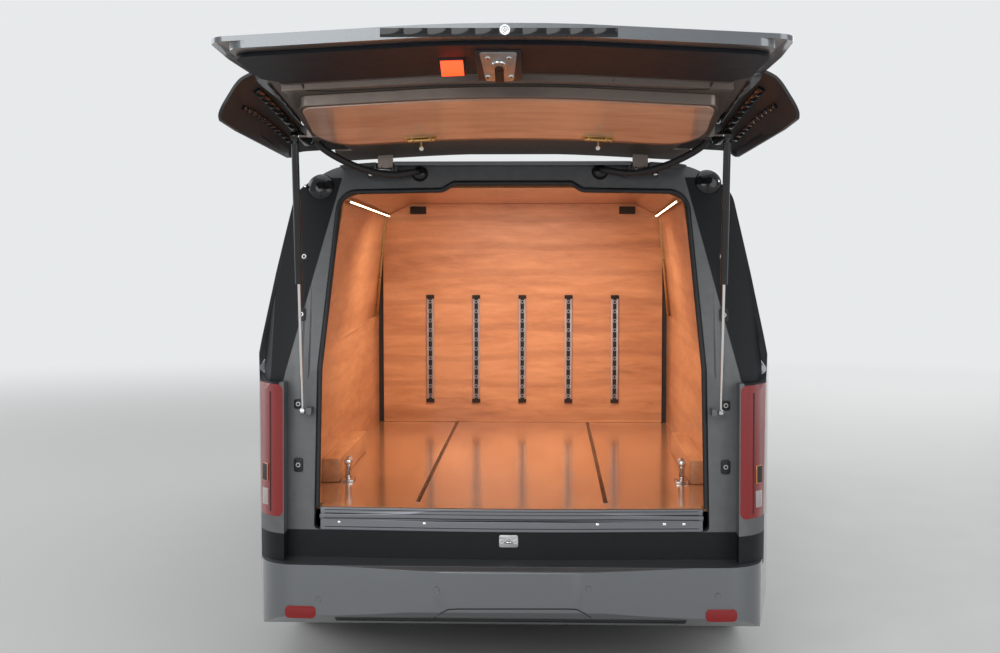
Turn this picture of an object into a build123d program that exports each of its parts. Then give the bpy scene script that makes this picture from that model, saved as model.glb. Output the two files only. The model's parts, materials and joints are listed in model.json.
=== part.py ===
from build123d import *

# Hearse built on a mid-size van body, with its tailgate raised, as an assembly of separate pieces.
# Millimetres. X to the vehicle's right, Y forward, Z up. Stations along Y are written from the rear
# axle, or from the front axle for the cab and what lies ahead of it, and moved by rear_axle_y at
# the end, so that the origin is on the ground under the middle of the overall length, tailgate
# raised. The tailgate is drawn shut and turned about its hinge.
import copy
import math
import os

# Overall sizes
wheelbase = 3200
axle_y = wheelbase           # station of the front axle
rear_axle_y = -979          # origin is on the ground under the middle of the overall length
body_wall = 55              # thickness of a door, side wall or roof
skin = 22                   # thickness of bonnet, wings and bumper covers
panel_gap = 7               # gap round every moving panel
glass_depth = 6             # from the outer surface to the glass
glass_thick = 8
floor_top_z = 540
floor_thick = 35
sill_bottom_z = 235

# Wheels
track = 1660
tyre_radius = 336
tyre_width = 215
rim_radius = 222
spindle_radius = 32
spindle_end = 880           # half the span from spindle tip to tip
running_gap = 0.1           # radial room of a shaft in its bore
axle_z = tyre_radius
arch_radius = 385
housing_radius = 400
steer_pivot_x = 735
kingpin_radius = 11
steer_limit = 30            # degrees each way
steer_clear_radius = 425    # room round the steering axis for the turned tyre

# Tailgate, shut
hinge_y = -684
hinge_z = 1874
hinge_x = 472
hinge_half = 28             # half width of a hinge arm
open_angle = 88.5           # degrees from shut to raised
gate_lip = 46               # thickness at the lower edge
lip_taper = 0.0243          # growth of the thickness with height, from the lower edge up
gate_thick = 78             # thickness round the window
gate_top = 40               # thickness above the window
gate_face = 86              # depth of the rear portal's face behind the outer surface
portal_depth = 134
roof_lip_y = -712           # rear edge of the roof's lip over the portal
gate_bottom_z = 480
bumper_top_z = 468
belt_z = 1150
gate_skin = 14
trim_thick = 12             # black trim on the lower half of the gate
board_face = 116            # depth of the wood board's face, on its black surround
board_thick = 10
ear_skin = 9
ear_recess = 18

# Gas struts, in the plane x = strut_x; ends with the tailgate shut
strut_x = 745
strut_top = (-789, 1510)    # (y, z) on the tailgate
strut_foot = (-944, 1000)   # (y, z) on the rear portal
strut_tube_length = 516
strut_rod_length = 496
strut_tube_radius = 13
strut_pin_radius = 5

# Load space
deck_top_z = 650
deck_thick = 22
deck_half = 688
deck_wide_half = 762
stop_x = 665                # coffin stops
stop_y = -370
sill_depth = 80             # depth of the stainless sill's face behind the outer surface
ledge_z = 1220
bulkhead_y = axle_y - 1733
bulkhead_half = 738
board = 14                  # thickness of the lining boards
ceiling_z = 1806
sill_top_z = 568            # lower edge of the rear opening

# Doors
door_hinge = (950, axle_y - 582)  # (x, y) of the right door's upright hinge line
slider_rear_y = 430
slider_front_y = axle_y - 1670
door_open = 65
door_hinge_heights = (480, 980)
hinge_pin_radius = 5
bonnet_hinge = (axle_y + 150, 1130)  # (y, z)
bonnet_open = 50
bonnet_rear_y = axle_y + 138
firewall_y = axle_y - 258
wheel_hub = (-400, axle_y - 770, 1120)  # centre of the steering wheel
column_tilt = 28            # degrees that the column drops away from level
column_shaft_radius = 12
seat_y = axle_y - 1500       # rear edge of the seats' bases

# Outlines: every row is (across, up, corner radius), or (y, z, radius) in side view
SIDE_ROWS = [
    (-1080, 300, 60), (-1080, bumper_top_z - 16, 16), (-1056, bumper_top_z, 8), (-1030, belt_z, 60),
    (-766, 1900, 22), (600, 1935, 12000), (axle_y - 870, 1880, 500), (axle_y + 70, 1190, 250),
    (axle_y + 700, 1020, 500), (axle_y + 880, 760, 160), (axle_y + 895, 420, 120),
    (axle_y + 820, 225, 80), (-960, 235, 60),
]
# half rows, (x, z, radius), from the sill up to the roof's middle
FRONT_HALF = [
    (890, 225, 60), (950, 330, 120), (964, 760, 1500), (945, 1120, 220), (812, 1796, 105),
    (664, 1888, 220), (0, 1936, 8000),
]
# half rows, (x, y, radius), from the tail's middle round to the nose's middle
PLAN_HALF = [
    (0, -1092, 6000), (868, -1046, 150), (957, -690, 600), (964, 300, 3000),
    (964, axle_y - 400, 2000), (935, axle_y + 360, 700), (760, axle_y + 800, 330),
    (0, axle_y + 900, 2600),
]
# plans that lean with height: the tail below and above the belt, and the windscreen
LOW_TAIL_HALF = [(0, -1046, 6000), (852, -1000, 150), (1150, -430, 0), (1150, 6000, 0)]
LOW_TAIL_Z = bumper_top_z
LOW_TAIL_RAKE = 28 / (belt_z - LOW_TAIL_Z)
TAIL_HALF = [(0, -1018, 6000), (830, -972, 150), (1150, -470, 0), (1150, 6000, 0)]
TAIL_RAKE = 243 / 718
SCREEN_HALF = [
    (1150, -6000, 0), (1150, axle_y - 1620, 0), (830, axle_y - 120, 420), (0, axle_y + 100, 1500),
]
SCREEN_Z = 1185
SCREEN_RAKE = -940 / 690
REACH = 6000                # longer than any outline

# openings in side view, (y, z, radius)
DOOR_ROWS = [
    (axle_y - 1640, 300, 60), (axle_y - 1640, 1770, 60), (axle_y - 1105, 1770, 120),
    (axle_y - 565, 1372, 60), (axle_y - 565, 300, 60),
]
DOOR_GLASS_ROWS = [
    (axle_y - 1560, 1200, 50), (axle_y - 1560, 1700, 50), (axle_y - 1138, 1700, 80),
    (axle_y - 650, 1340, 60), (axle_y - 650, 1200, 40),
]
SLIDER_ROWS = [
    (slider_rear_y, 300, 60), (slider_rear_y, 1790, 70), (slider_front_y, 1790, 70),
    (slider_front_y, 300, 60),
]
SLIDER_GLASS_ROWS = [
    (slider_rear_y + 70, 1195, 60), (slider_rear_y + 70, 1725, 60), (slider_front_y - 70, 1725, 60),
    (slider_front_y - 70, 1195, 60),
]
QUARTER_GLASS_ROWS = [
    (-640, 1195, 60), (-500, 1725, 60), (slider_rear_y - 70, 1725, 60), (slider_rear_y - 70, 1195, 60),
]
# openings in front view, half rows (x, z, radius)
SCREEN_GLASS_HALF = [(780, 1215, 60), (655, 1792, 60)]
PORTAL_HALF = [
    (712, sill_top_z, 16), (700, 1150, 800), (652, 1800, 80), (262, 1806, 30), (222, 1832, 30),
]
GATE_FRAME_HALF = [
    (742, gate_bottom_z, 50), (744, 925, 40), (705, 1000, 60), (700, 1300, 500), (640, 1900, 0),
]
GATE_SKIN_HALF = [(788, gate_bottom_z, 45), (800, 760, 900), (800, belt_z, 0)]
GATE_WINDOW_HALF = [(640, 1190, 50), (622, 1478, 50)]
GATE_TRIM_HALF = [(740, 545, 60), (740, 925, 40), (700, 1000, 60), (694, 1070, 10)]
GATE_BOARD_HALF = [(662, 1174, 30), (654, 1486, 140)]
GATE_SURROUND_HALF = [(676, 1162, 30), (650, 1512, 150)]
GATE_SURROUND_ROOM_HALF = [(620, 1204, 30), (605, 1460, 100)]
# the gate's thin flange outside its box section, beside the side wings
GATE_FLANGE_HALF = [(806, 1120, 20), (800, 1200, 60), (737, 1400, 60), (700, 1520, 60), (560, 1850, 20)]


def closed_outline(plane, rows):
    """A face from corner rows (u, v, radius)."""
    points = [(u, v) for u, v, radius in rows]
    radii = [radius for u, v, radius in rows]
    return make_face(plane * FilletPolyline(*points, radius=radii, close=True))


def mirrored(half):
    """Both halves of a symmetric outline from its right half."""
    return half + [(-u, v, radius) for u, v, radius in reversed(half) if u > 0]


def across(rows, x_low=-1000, x_high=1000):
    """A side view outline, (y, z, radius), run across the vehicle."""
    face = closed_outline(Plane.YZ.offset(x_low), rows)
    return extrude(face, x_high - x_low, dir=(1, 0, 0))


def along(rows, y_low, y_high):
    """A front view outline, (x, z, radius), run along the vehicle."""
    face = closed_outline(Plane.XZ.offset(-y_low), rows)
    return extrude(face, y_high - y_low, dir=(0, 1, 0))


def upright(rows, z_low, z_high):
    """A plan outline, (x, y, radius), run upwards."""
    face = closed_outline(Plane.XY.offset(z_low), rows)
    return extrude(face, z_high - z_low, dir=(0, 0, 1))


def block(x, y, z, edge=0):
    """A box from three (low, high) pairs, its edges rounded by edge."""
    size = (x[1] - x[0], y[1] - y[0], z[1] - z[0])
    made = Pos((x[0] + x[1]) / 2, (y[0] + y[1]) / 2, (z[0] + z[1]) / 2) * Box(*size)
    return fillet(made.edges(), edge) if edge else made


def grown(rows, amount):
    """The rows of an outline pushed out from its middle by about amount."""
    middle_u = (min(r[0] for r in rows) + max(r[0] for r in rows)) / 2
    middle_v = (min(r[1] for r in rows) + max(r[1] for r in rows)) / 2
    return [
        (u + amount * (1 if u > middle_u else -1), v + amount * (1 if v > middle_v else -1), radius)
        for u, v, radius in rows
    ]


def together(*shapes):
    """Several shapes as one compound of separate solids."""
    return Compound(children=[solid for shape in shapes for solid in shape.solids()])


def both_sides(shape):
    """The shape and its mirror image."""
    return together(shape, mirror(shape, Plane.YZ))


def bar(start, end, radius):
    """A round bar between two points."""
    a, b = Vector(*start), Vector(*end)
    plane = Plane(origin=a, z_dir=(b - a).normalized())
    return extrude(plane * Circle(radius), (b - a).length)


def whole(half):
    """A right half joined to its mirror image."""
    return half + mirror(half, Plane.YZ)


def across_bar(x_low, x_high, y, z, radius):
    """A round bar along X."""
    return bar((x_low, y, z), (x_high, y, z), radius)


def remembered(make):
    """Keep what a function has made, and hand out a copy of it each time."""
    kept = {}

    def handed_out(*key):
        if key not in kept:
            kept[key] = make(*key)
        return copy.deepcopy(kept[key])

    return handed_out


def drawn_in_rows(rows, inset, rake):
    """Rows of a leaning outline, each side moved in so that the wall on it is inset thick."""
    lines = []
    for (x1, y1, radius), (x2, y2, _) in zip(rows, rows[1:] + rows[:1]):
        dx, dy = x2 - x1, y2 - y1
        length = math.hypot(dx, dy)
        depth = inset * math.hypot(length, dx * rake) / length
        lines.append((x1 - dy / length * depth, y1 + dx / length * depth, dx, dy, radius))
    moved = []
    for (x1, y1, dx1, dy1, _), (x2, y2, dx2, dy2, radius) in zip(lines[-1:] + lines[:-1], lines):
        along_first = ((x2 - x1) * dy2 - (y2 - y1) * dx2) / (dx1 * dy2 - dy1 * dx2)
        corner = (x1 + along_first * dx1, y1 + along_first * dy1)
        moved.append((*corner, max(radius - inset, 0)))
    return moved


def leaning(half, level, rake, inset=0):
    """A plan outline that leans forward by rake, measured at the height level."""
    rows = [(x, y - level * rake, radius) for x, y, radius in mirrored(half)]
    face = closed_outline(Plane.XY, drawn_in_rows(rows, inset, rake))
    return extrude(face, 2000 * math.hypot(1, rake), dir=(0, rake, 1))


def drawn_in(inset):
    """The right half of the body's form, drawn in by inset, as the meeting of its views."""
    side = closed_outline(Plane.YZ, SIDE_ROWS)
    front = closed_outline(Plane.XZ, mirrored(FRONT_HALF))
    plan = closed_outline(Plane.XY, mirrored(PLAN_HALF))
    if inset:
        side, front, plan = (offset(face, amount=-inset) for face in (side, front, plan))
    solid = extrude(side, 1000, dir=(1, 0, 0)) & extrude(front, REACH, both=True)
    solid = solid & extrude(plan, 2000, both=True)
    above = block((-1100, 1100), (-1500, -300), (LOW_TAIL_Z - inset, belt_z + 300))
    solid = solid - (above - leaning(LOW_TAIL_HALF, LOW_TAIL_Z, LOW_TAIL_RAKE, inset))
    above = block((-1100, 1100), (-1500, -300), (belt_z - 200, 2000))
    solid = solid - (above - leaning(TAIL_HALF, belt_z, TAIL_RAKE, inset))
    above = block((-1100, 1100), (axle_y - 1700, axle_y + 1100), (SCREEN_Z - inset, 1950))
    return solid - (above - leaning(SCREEN_HALF, SCREEN_Z, SCREEN_RAKE, inset))


@remembered
def form(inset=0):
    """The drawn-in form; a hair's breadth of difference keeps near-touching faces apart."""
    for hair in (0, 0.09, -0.07, 0.21, -0.17):
        try:
            solid = drawn_in(inset + hair)
        except ValueError:
            continue
        if solid.is_valid and len(solid.solids()) == 1 and solid.volume > 5e9:
            return solid
    raise ValueError(f"no sound form at {inset}")


@remembered
def ahead_of_tail(depth, lip_depth=None):
    """Everything further than depth ahead of the tail, or than lip_depth at the tailgate's foot."""
    low_depth = depth if lip_depth is None else lip_depth
    rake = LOW_TAIL_RAKE if lip_depth is None else LOW_TAIL_RAKE + lip_taper
    low = [(0, -1046 + low_depth, 6000), (852, -1000 + low_depth, 600), (1150, -940 + low_depth, 0),
           (1150, 7000, 0)]
    high = [(0, -1018 + depth, 6000), (830, -972 + depth, 600), (1150, -890 + depth, 0),
            (1150, 7000, 0)]
    return leaning(low, LOW_TAIL_Z, rake) & leaning(high, belt_z, TAIL_RAKE)


@remembered
def rear_end(inset=0):
    """The last metre of the body's form."""
    return form(inset) & block((-1100, 1100), (-1400, -300), (100, 2100))


@remembered
def lamp_zone(depth):
    """The tail lamps' room at the rear corners, to a depth from the outer surface."""
    rows = [(811, 625, 24), (1000, 625, 24), (1000, 1098, 24), (811, 1098, 24)]
    return (rear_end() - rear_end(depth)) & along(rows, -1300, -790)


@remembered
def rear_layer(outside, inside):
    """The part of the tail between two depths from its outer surface, out to the sides."""
    outer = rear_end() & ahead_of_tail(outside) if outside else rear_end()
    return outer - ahead_of_tail(inside)


def ear_zone(spread=0):
    """Where the tailgate's side wings cover the rear pillars, seen from the side."""
    rows = [
        (-1300, 1112 - spread, 0), (-828 + spread, 1112 - spread, 60),
        (-716 + spread, 1800 + spread, 40), (-1300, 1800 + spread, 0),
    ]
    return across(rows, 640, 1100) + across(rows, -1100, -640)


def carve(shape, *tools):
    """The shape less each tool in turn, with a sound result after every cut."""
    for number, tool in enumerate(tools):
        for hair in (0, 0.13, -0.11):
            cut = shape - (Pos(hair, hair, hair) * tool if hair else tool)
            sound = cut.volume > 0 and cut.volume <= shape.volume + 1 and cut.is_valid
            if sound:
                break
        if not sound:
            raise ValueError(f"cut {number} is not sound")
        shape = cut
    return shape


def body_panels():
    """Side walls, roof, sliding doors and side glass."""
    ahead = form() & ahead_of_tail(portal_depth)
    roof_zone = block((0, 1100), (-1200, axle_y - 400), (1835, 2100))
    roof_zone = roof_zone + block((0, 640), (-1200, axle_y - 400), (1792, 1840))
    roof = (ahead & roof_zone) - form(body_wall)
    side = (ahead & block((640, 1100), (-1200, axle_y + 200), (200, 1835))) - form(body_wall)
    side = carve(
        side,
        block((600, 1100), (-1200, -420), (100, bumper_top_z - 20)),
        block((600, 1150), (axle_y - 563, axle_y + 300), (100, SCREEN_Z)),
        block((600, 880), (-1200, axle_y + 300), (100, 330)),
        along(mirrored(SCREEN_GLASS_HALF), axle_y - 1200, axle_y + 300),
        across_bar(600, 1100, 0, axle_z, arch_radius),
        across(grown(DOOR_ROWS, panel_gap), 600, 1100),
        across(SLIDER_ROWS, 600, 1100),
        across(QUARTER_GLASS_ROWS, 600, 1100),
        ear_zone(panel_gap) & (rear_end() - rear_end(ear_recess)),
        lamp_zone(40),
    )
    slider = form() & across(grown(SLIDER_ROWS, -panel_gap + 2), 600, 1100)
    slider = slider + (form(ear_recess) & across(SLIDER_ROWS, 600, 1100))
    slider = (slider - form(body_wall)) - across(SLIDER_GLASS_ROWS, 500, 1150)
    pane = (form(glass_depth) - form(glass_depth + glass_thick)) & block(
        (600, 1100), (-1200, axle_y - 200), (1100, 1800))
    panes = [pane & across(rows, 500, 1150) for rows in (SLIDER_GLASS_ROWS, QUARTER_GLASS_ROWS)]
    return {
        "roof": whole(roof), "body_sides": both_sides(side), "sliding_doors": both_sides(slider),
        "side_glass": both_sides(together(*panes)),
    }


@remembered
def front_end(inset=0):
    """The right half of the body's form ahead of the cab's middle."""
    return form(inset) & block((0, 1100), (axle_y - 1000, axle_y + 1100), (100, 1900))


def front_panels():
    """Windscreen, wings, bonnet, bumper, grille and headlamps."""
    screen = front_end(glass_depth) - front_end(glass_depth + glass_thick)
    screen = screen & along(mirrored(SCREEN_GLASS_HALF), axle_y - 1200, axle_y + 300)
    cover = front_end() - front_end(skin)
    lamp_rows = [(566, 735, 30), (900, 800, 30), (960, 900, 30), (600, 850, 30)]
    head_zone = along(lamp_rows, axle_y + 400, axle_y + 1000)
    lamps = (front_end() - front_end(body_wall)) & head_zone
    grille_rows = mirrored([(470, 560, 60), (500, 800, 60)])
    grille_zone = along(grille_rows, axle_y + 600, axle_y + 1000)
    grille = (front_end(glass_depth) - front_end(skin)) & grille_zone
    tyre_room = across_bar(500, 1100, axle_y, axle_z, arch_radius)
    bumper = cover & block((0, 1100), (axle_y + 400, axle_y + 1000), (200, 706))
    bumper = bumper + (cover & block((0, 771), (axle_y + 400, axle_y + 1000), (700, 862)))
    bumper = carve(bumper, head_zone, grille_zone, tyre_room,
                   block((-10, 700), (axle_y + 300, axle_y + 760), (200, 330)))
    wings = cover & block((771, 1100), (axle_y - 555, axle_y + 800), (300, SCREEN_Z))
    low_front = block((700, 1200), (axle_y + 400, axle_y + 1050), (190, 706))
    wings = carve(wings, low_front, head_zone, tyre_room)
    bonnet = (cover & block((0, 764), (bonnet_rear_y, axle_y + 1000), (869, 1300))) - head_zone
    ribs = front_end(skin - 4) - front_end(skin + 18)
    bonnet = bonnet + (ribs & block((0, 690), (axle_y + 200, axle_y + 280), (900, 1300)))
    lug_y, lug_z = bonnet_hinge
    bonnet = bonnet + block((698, 710), (lug_y - 10, lug_y + 30), (lug_z - 12, lug_z + 22))
    bonnet = bonnet - across_bar(680, 712, lug_y, lug_z, hinge_pin_radius + running_gap)
    return {
        "windscreen": whole(screen), "headlamps": both_sides(lamps), "grille": whole(grille),
        "front_bumper": whole(bumper), "front_wings": both_sides(wings), "bonnet": whole(bonnet),
    }


def rear_panels():
    """Portal round the rear opening, its seal, the rear bumper and the tail lamps."""
    opening = along(mirrored(PORTAL_HALF), -1200, 0)
    portal = (rear_layer(gate_face, portal_depth) - opening) & block(
        (0, 1100), (-1300, 0), (bumper_top_z - 20, 2100))
    portal = portal - (ear_zone(panel_gap) & (rear_end() - rear_end(ear_recess)))
    corner = rear_layer(0, gate_face) & block((807, 1100), (-1300, 0), (bumper_top_z, belt_z - 38))
    corner = corner - rear_end(body_wall) - ear_zone(panel_gap) - lamp_zone(40)
    portal = portal - lamp_zone(40) + corner
    lip = (rear_end() - rear_end(gate_skin)) & ahead_of_tail(gate_skin + 2 * panel_gap)
    portal = portal + (lip & block((0, 640), (roof_lip_y, -640), (1880, 2100)))
    slot_half = hinge_half + panel_gap
    for x in (hinge_x - slot_half, hinge_x + slot_half):
        portal = portal + block((x - 9, x + 9), (hinge_y - 14, hinge_y + 40), (hinge_z - 16, hinge_z + 14))
    portal = portal - block((hinge_x - slot_half, hinge_x + slot_half), (-900, hinge_y + 22),
                            (hinge_z - 22, 2000))
    portal = portal + across_bar(hinge_x - slot_half - 4, hinge_x + slot_half + 4, hinge_y, hinge_z,
                                 strut_pin_radius)
    top_y, top_z = strut_top
    foot_y, foot_z = strut_foot
    portal = portal - bar((strut_x, foot_y, foot_z), (strut_x, top_y + 6, top_z + 20),
                          strut_tube_radius + panel_gap)
    portal = portal + block((713, 731), (foot_y - 10, foot_y + 54), (foot_z - 12, foot_z + 12))
    portal = portal + across_bar(722, strut_x + 15, foot_y, foot_z, strut_pin_radius)
    rim = offset(closed_outline(Plane.XZ.offset(1200), mirrored(PORTAL_HALF)), amount=-11)
    inner = extrude(rim, 1400, dir=(0, 1, 0))
    seal = (opening - inner) & rear_layer(gate_face + 2, portal_depth)
    seal = seal & block((0, 1100), (-1300, 0), (deck_top_z, 1900))
    low = block((0, 1100), (-1300, -420), (200, bumper_top_z))
    ledge = block((0, 1100), (-1300, -700), (bumper_top_z - 24, bumper_top_z))
    bumper = ((rear_end() - rear_end(40)) & low) + (rear_layer(0, gate_face) & ledge)
    bumper = carve(
        bumper,
        ahead_of_tail(gate_face) & block((-10, 1100), (-1000, 0), (bumper_top_z - 20, 520)),
        across_bar(690, 1100, 0, axle_z, arch_radius),
        block((-10, 700), (-900, 0), (200, bumper_top_z - 30)),
    )
    return {
        "rear_frame": whole(portal), "opening_seal": whole(seal), "rear_bumper": whole(bumper),
        "tail_lamps": both_sides(lamp_zone(40)),
    }


def tailgate():
    """Tailgate pieces, drawn shut."""
    def between(low, high):
        return block((-10, 1100), (-1300, 0), (low, high))

    frame = along(mirrored(GATE_FRAME_HALF), -1300, 0)
    face = ahead_of_tail(30, gate_lip - trim_thick)
    shell = (rear_end() - face) & (frame & between(gate_bottom_z, 1062))
    shell = shell + (rear_layer(0, gate_thick) & (frame & between(1062, 1530)))
    head_y = -1018 + gate_top
    head_rows = [(-1400, 1530, 0), (head_y + 380 * TAIL_RAKE, 1530, 0),
                 (head_y + 710 * TAIL_RAKE, 1860, 0), (-1400, 1860, 0)]
    shell = shell + (rear_end() & (frame & across(head_rows)))
    outside = rear_end() - rear_end(gate_skin)
    shell = shell + (outside & along(mirrored(GATE_SKIN_HALF), -1300, -800))
    shell = shell + ((outside - ahead_of_tail(gate_skin + 2)) & (frame & between(1800, 1893)))
    shell = shell + (rear_layer(ear_skin, 2 * ear_skin) & along(mirrored(GATE_FLANGE_HALF), -1300, 0))
    arm = block((hinge_x - hinge_half, hinge_x + hinge_half), (hinge_y - 62, hinge_y + 12),
                (hinge_z - 12, hinge_z + 12))
    shell = shell + (arm & rear_end())
    shell = shell - across_bar(hinge_x - 40, hinge_x + 40, hinge_y, hinge_z,
                               strut_pin_radius + running_gap)
    shell = shell - along(mirrored(GATE_WINDOW_HALF), -1300, 0)
    top_y, top_z = strut_top
    shell = shell + block((640, 700), (top_y - 40, top_y + 4), (top_z - 16, top_z + 30))
    shell = shell + across_bar(690, strut_x + 15, top_y, top_z, strut_pin_radius)

    wood = rear_layer(board_face - board_thick, board_face) & along(mirrored(GATE_BOARD_HALF), -1300, 0)
    surround = along(mirrored(GATE_SURROUND_HALF), -1300, 0)
    surround = surround - along(mirrored(GATE_SURROUND_ROOM_HALF), -1300, 0)
    surround = (rear_layer(gate_thick, board_face - 4) & surround) - wood
    trim = along(mirrored(GATE_TRIM_HALF), -1300, 0) & (face - ahead_of_tail(30, gate_lip))
    pane_half = [(735, belt_z, 0), (735, 1400, 0), (640, 1796, 0)]
    pane = rear_layer(0, ear_skin) & along(mirrored(pane_half), -1300, 0)
    ear = (rear_end() - rear_end(ear_skin)) & ear_zone()
    pane = pane + (ear & block((640, 1100), (-1300, 0), (1112, 1796)))
    shell = shell - pane - trim - surround
    return {"tailgate": whole(shell), "tailgate_glass": whole(pane),
            "tailgate_trim": together(whole(trim), whole(surround)), "tailgate_board": whole(wood)}


def floor_and_frame():
    """Floor, front structure, engine and axles."""
    inside = form(body_wall)
    floor_low_z = floor_top_z - floor_thick
    floor = block((0, 902), (-845, axle_y - 435), (floor_low_z, floor_top_z))
    floor = floor + block((0, 538), (axle_y - 435, firewall_y), (floor_low_z, floor_top_z))
    floor = floor + block((850, 902), (-380, axle_y - 546), (255, floor_top_z))
    floor = floor - along([(866, 200, 0), (1000, 200, 0), (1000, 600, 0), (885, 600, 0), (885, 400, 0),
                           (866, 290, 0)], axle_y - 1660, axle_y - 546)
    floor = floor - block((838, 1000), (axle_y - 546, axle_y - 400), (200, 600))
    floor = (floor & inside) - across_bar(712, 1100, 0, axle_z, arch_radius)
    floor = floor + block((470, 550), (-845, axle_y - 500), (440, floor_low_z + 1))
    floor = floor + block((0, 550), (-845, -790), (440, floor_low_z + 1))
    housing = across_bar(700, 915, 0, axle_z, housing_radius)
    housing = housing - across_bar(712, 940, 0, axle_z, arch_radius)
    floor = floor + ((housing & block((600, 1000), (-500, 500), (540, 900))) & inside)

    rail = block((430, 520), (firewall_y, axle_y + 890), (380, 500))
    rail = rail + block((430, 520), (axle_y - 120, axle_y + 120), (500, 775))
    rail = rail + block((430, 600), (axle_y - 120, axle_y + 120), (765, 785))
    liner = across_bar(545, 950, axle_y, axle_z, steer_clear_radius + 10)
    liner = liner - across_bar(500, 990, axle_y, axle_z, steer_clear_radius)
    liner = liner & block((500, 1000), (axle_y - 500, axle_y + 500), (axle_z + 100, 900))
    apron = block((776, 792), (firewall_y + 18, axle_y + 440), (740, SCREEN_Z - skin))
    support = block((0, 700), (axle_y + 715, axle_y + 750), (300, 850)) & front_end(body_wall)
    post = block((840, 900), (axle_y - 544, axle_y - 440), (255, SCREEN_Z - skin))
    frame = ((rail + liner + apron) & front_end(skin)) + support
    post = (post & front_end(skin)) + block((430, 520), (axle_y - 500, firewall_y), (380, 500))
    post = post + block((510, 900), (axle_y - 498, axle_y - 440), (440, floor_low_z))
    pin_x, pin_y = door_hinge
    for height in door_hinge_heights:
        post = post + block((885, pin_x + 4), (pin_y - 8, pin_y + 8), (height - 10, height + 10))
        post = post + block((885, 899), (pin_y - 8, pin_y + 52), (height - 10, height + 10))
        post = post + bar((pin_x, pin_y, height - 24), (pin_x, pin_y, height + 24),
                          hinge_pin_radius)
    wall = block((0, 776), (firewall_y, firewall_y + 18), (380, SCREEN_Z - skin)) & front_end(skin)
    wall = wall - across_bar(530, 990, axle_y, axle_z, steer_clear_radius + 10)
    wall = wall - block((430, 520), (axle_y - 500, axle_y + 890), (380, 500))
    cowl = (front_end() - front_end(ear_recess)) & block(
        (0, 768), (firewall_y, bonnet_rear_y - 36), (1080, SCREEN_Z))
    lug_y, lug_z = bonnet_hinge
    lug = across_bar(716, 728, lug_y, lug_z, 12)
    lug = lug + block((716, 728), (lug_y - 10, lug_y + 10), (lug_z - 34, lug_z))
    lug = lug + block((716, 728), (lug_y - 70, lug_y + 10), (lug_z - 34, lug_z - 12))
    lug = lug + block((716, 728), (lug_y - 70, lug_y - 50), (lug_z - 34, lug_z + 14))
    lug = lug + across_bar(694, 720, lug_y, lug_z, hinge_pin_radius)
    brace = (front_end(skin - 4) - front_end(body_wall)) & block(
        (0, 740), (firewall_y, bonnet_rear_y - 38), (1100, SCREEN_Z - skin))
    shelf = block((0, 740), (firewall_y, firewall_y + 120), (1140, 1168))
    firewall = whole(wall + shelf + cowl + brace + lug)
    frame = whole(frame)
    floor = whole(floor)

    engine = block((-300, 300), (axle_y + 150, axle_y + 650), (400, 900), 20)
    engine = engine + block((-430, 430), (axle_y + 360, axle_y + 420), (440, 490))

    beam = block((-500, 500), (axle_y - 80, axle_y + 80), (250, 379.5), 10)
    arm = block((420, steer_pivot_x), (axle_y - 35, axle_y + 35), (200, 224), 6)
    arm = arm + block((420, 500), (axle_y - 35, axle_y + 35), (200, 260))
    upper = block((521, steer_pivot_x), (axle_y - 30, axle_y + 30), (494, 512), 5)
    spring = bar((630, axle_y, 222), (630, axle_y, 761), 34)
    spring = spring & across_bar(400, 800, axle_y, axle_z, steer_clear_radius)
    front = beam + both_sides(arm) + both_sides(upper + spring)
    pin = bar((steer_pivot_x, axle_y, 222), (steer_pivot_x, axle_y, 276), kingpin_radius)
    front = front + both_sides(pin)
    rear = across_bar(-760, 760, 0, axle_z, 45)
    rear = rear + across_bar(-spindle_end, spindle_end, 0, axle_z, spindle_radius)
    rear = rear + both_sides(block((480, 540), (-60, 60), (330, 439.5), 8))
    rear = rear + both_sides(across_bar(756, 776, 0, axle_z, 150))
    return {"floor_pan": floor, "front_frame": frame, "front_posts": both_sides(post),
            "firewall": firewall, "engine": engine, "front_axle": front, "rear_axle": rear}


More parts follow.
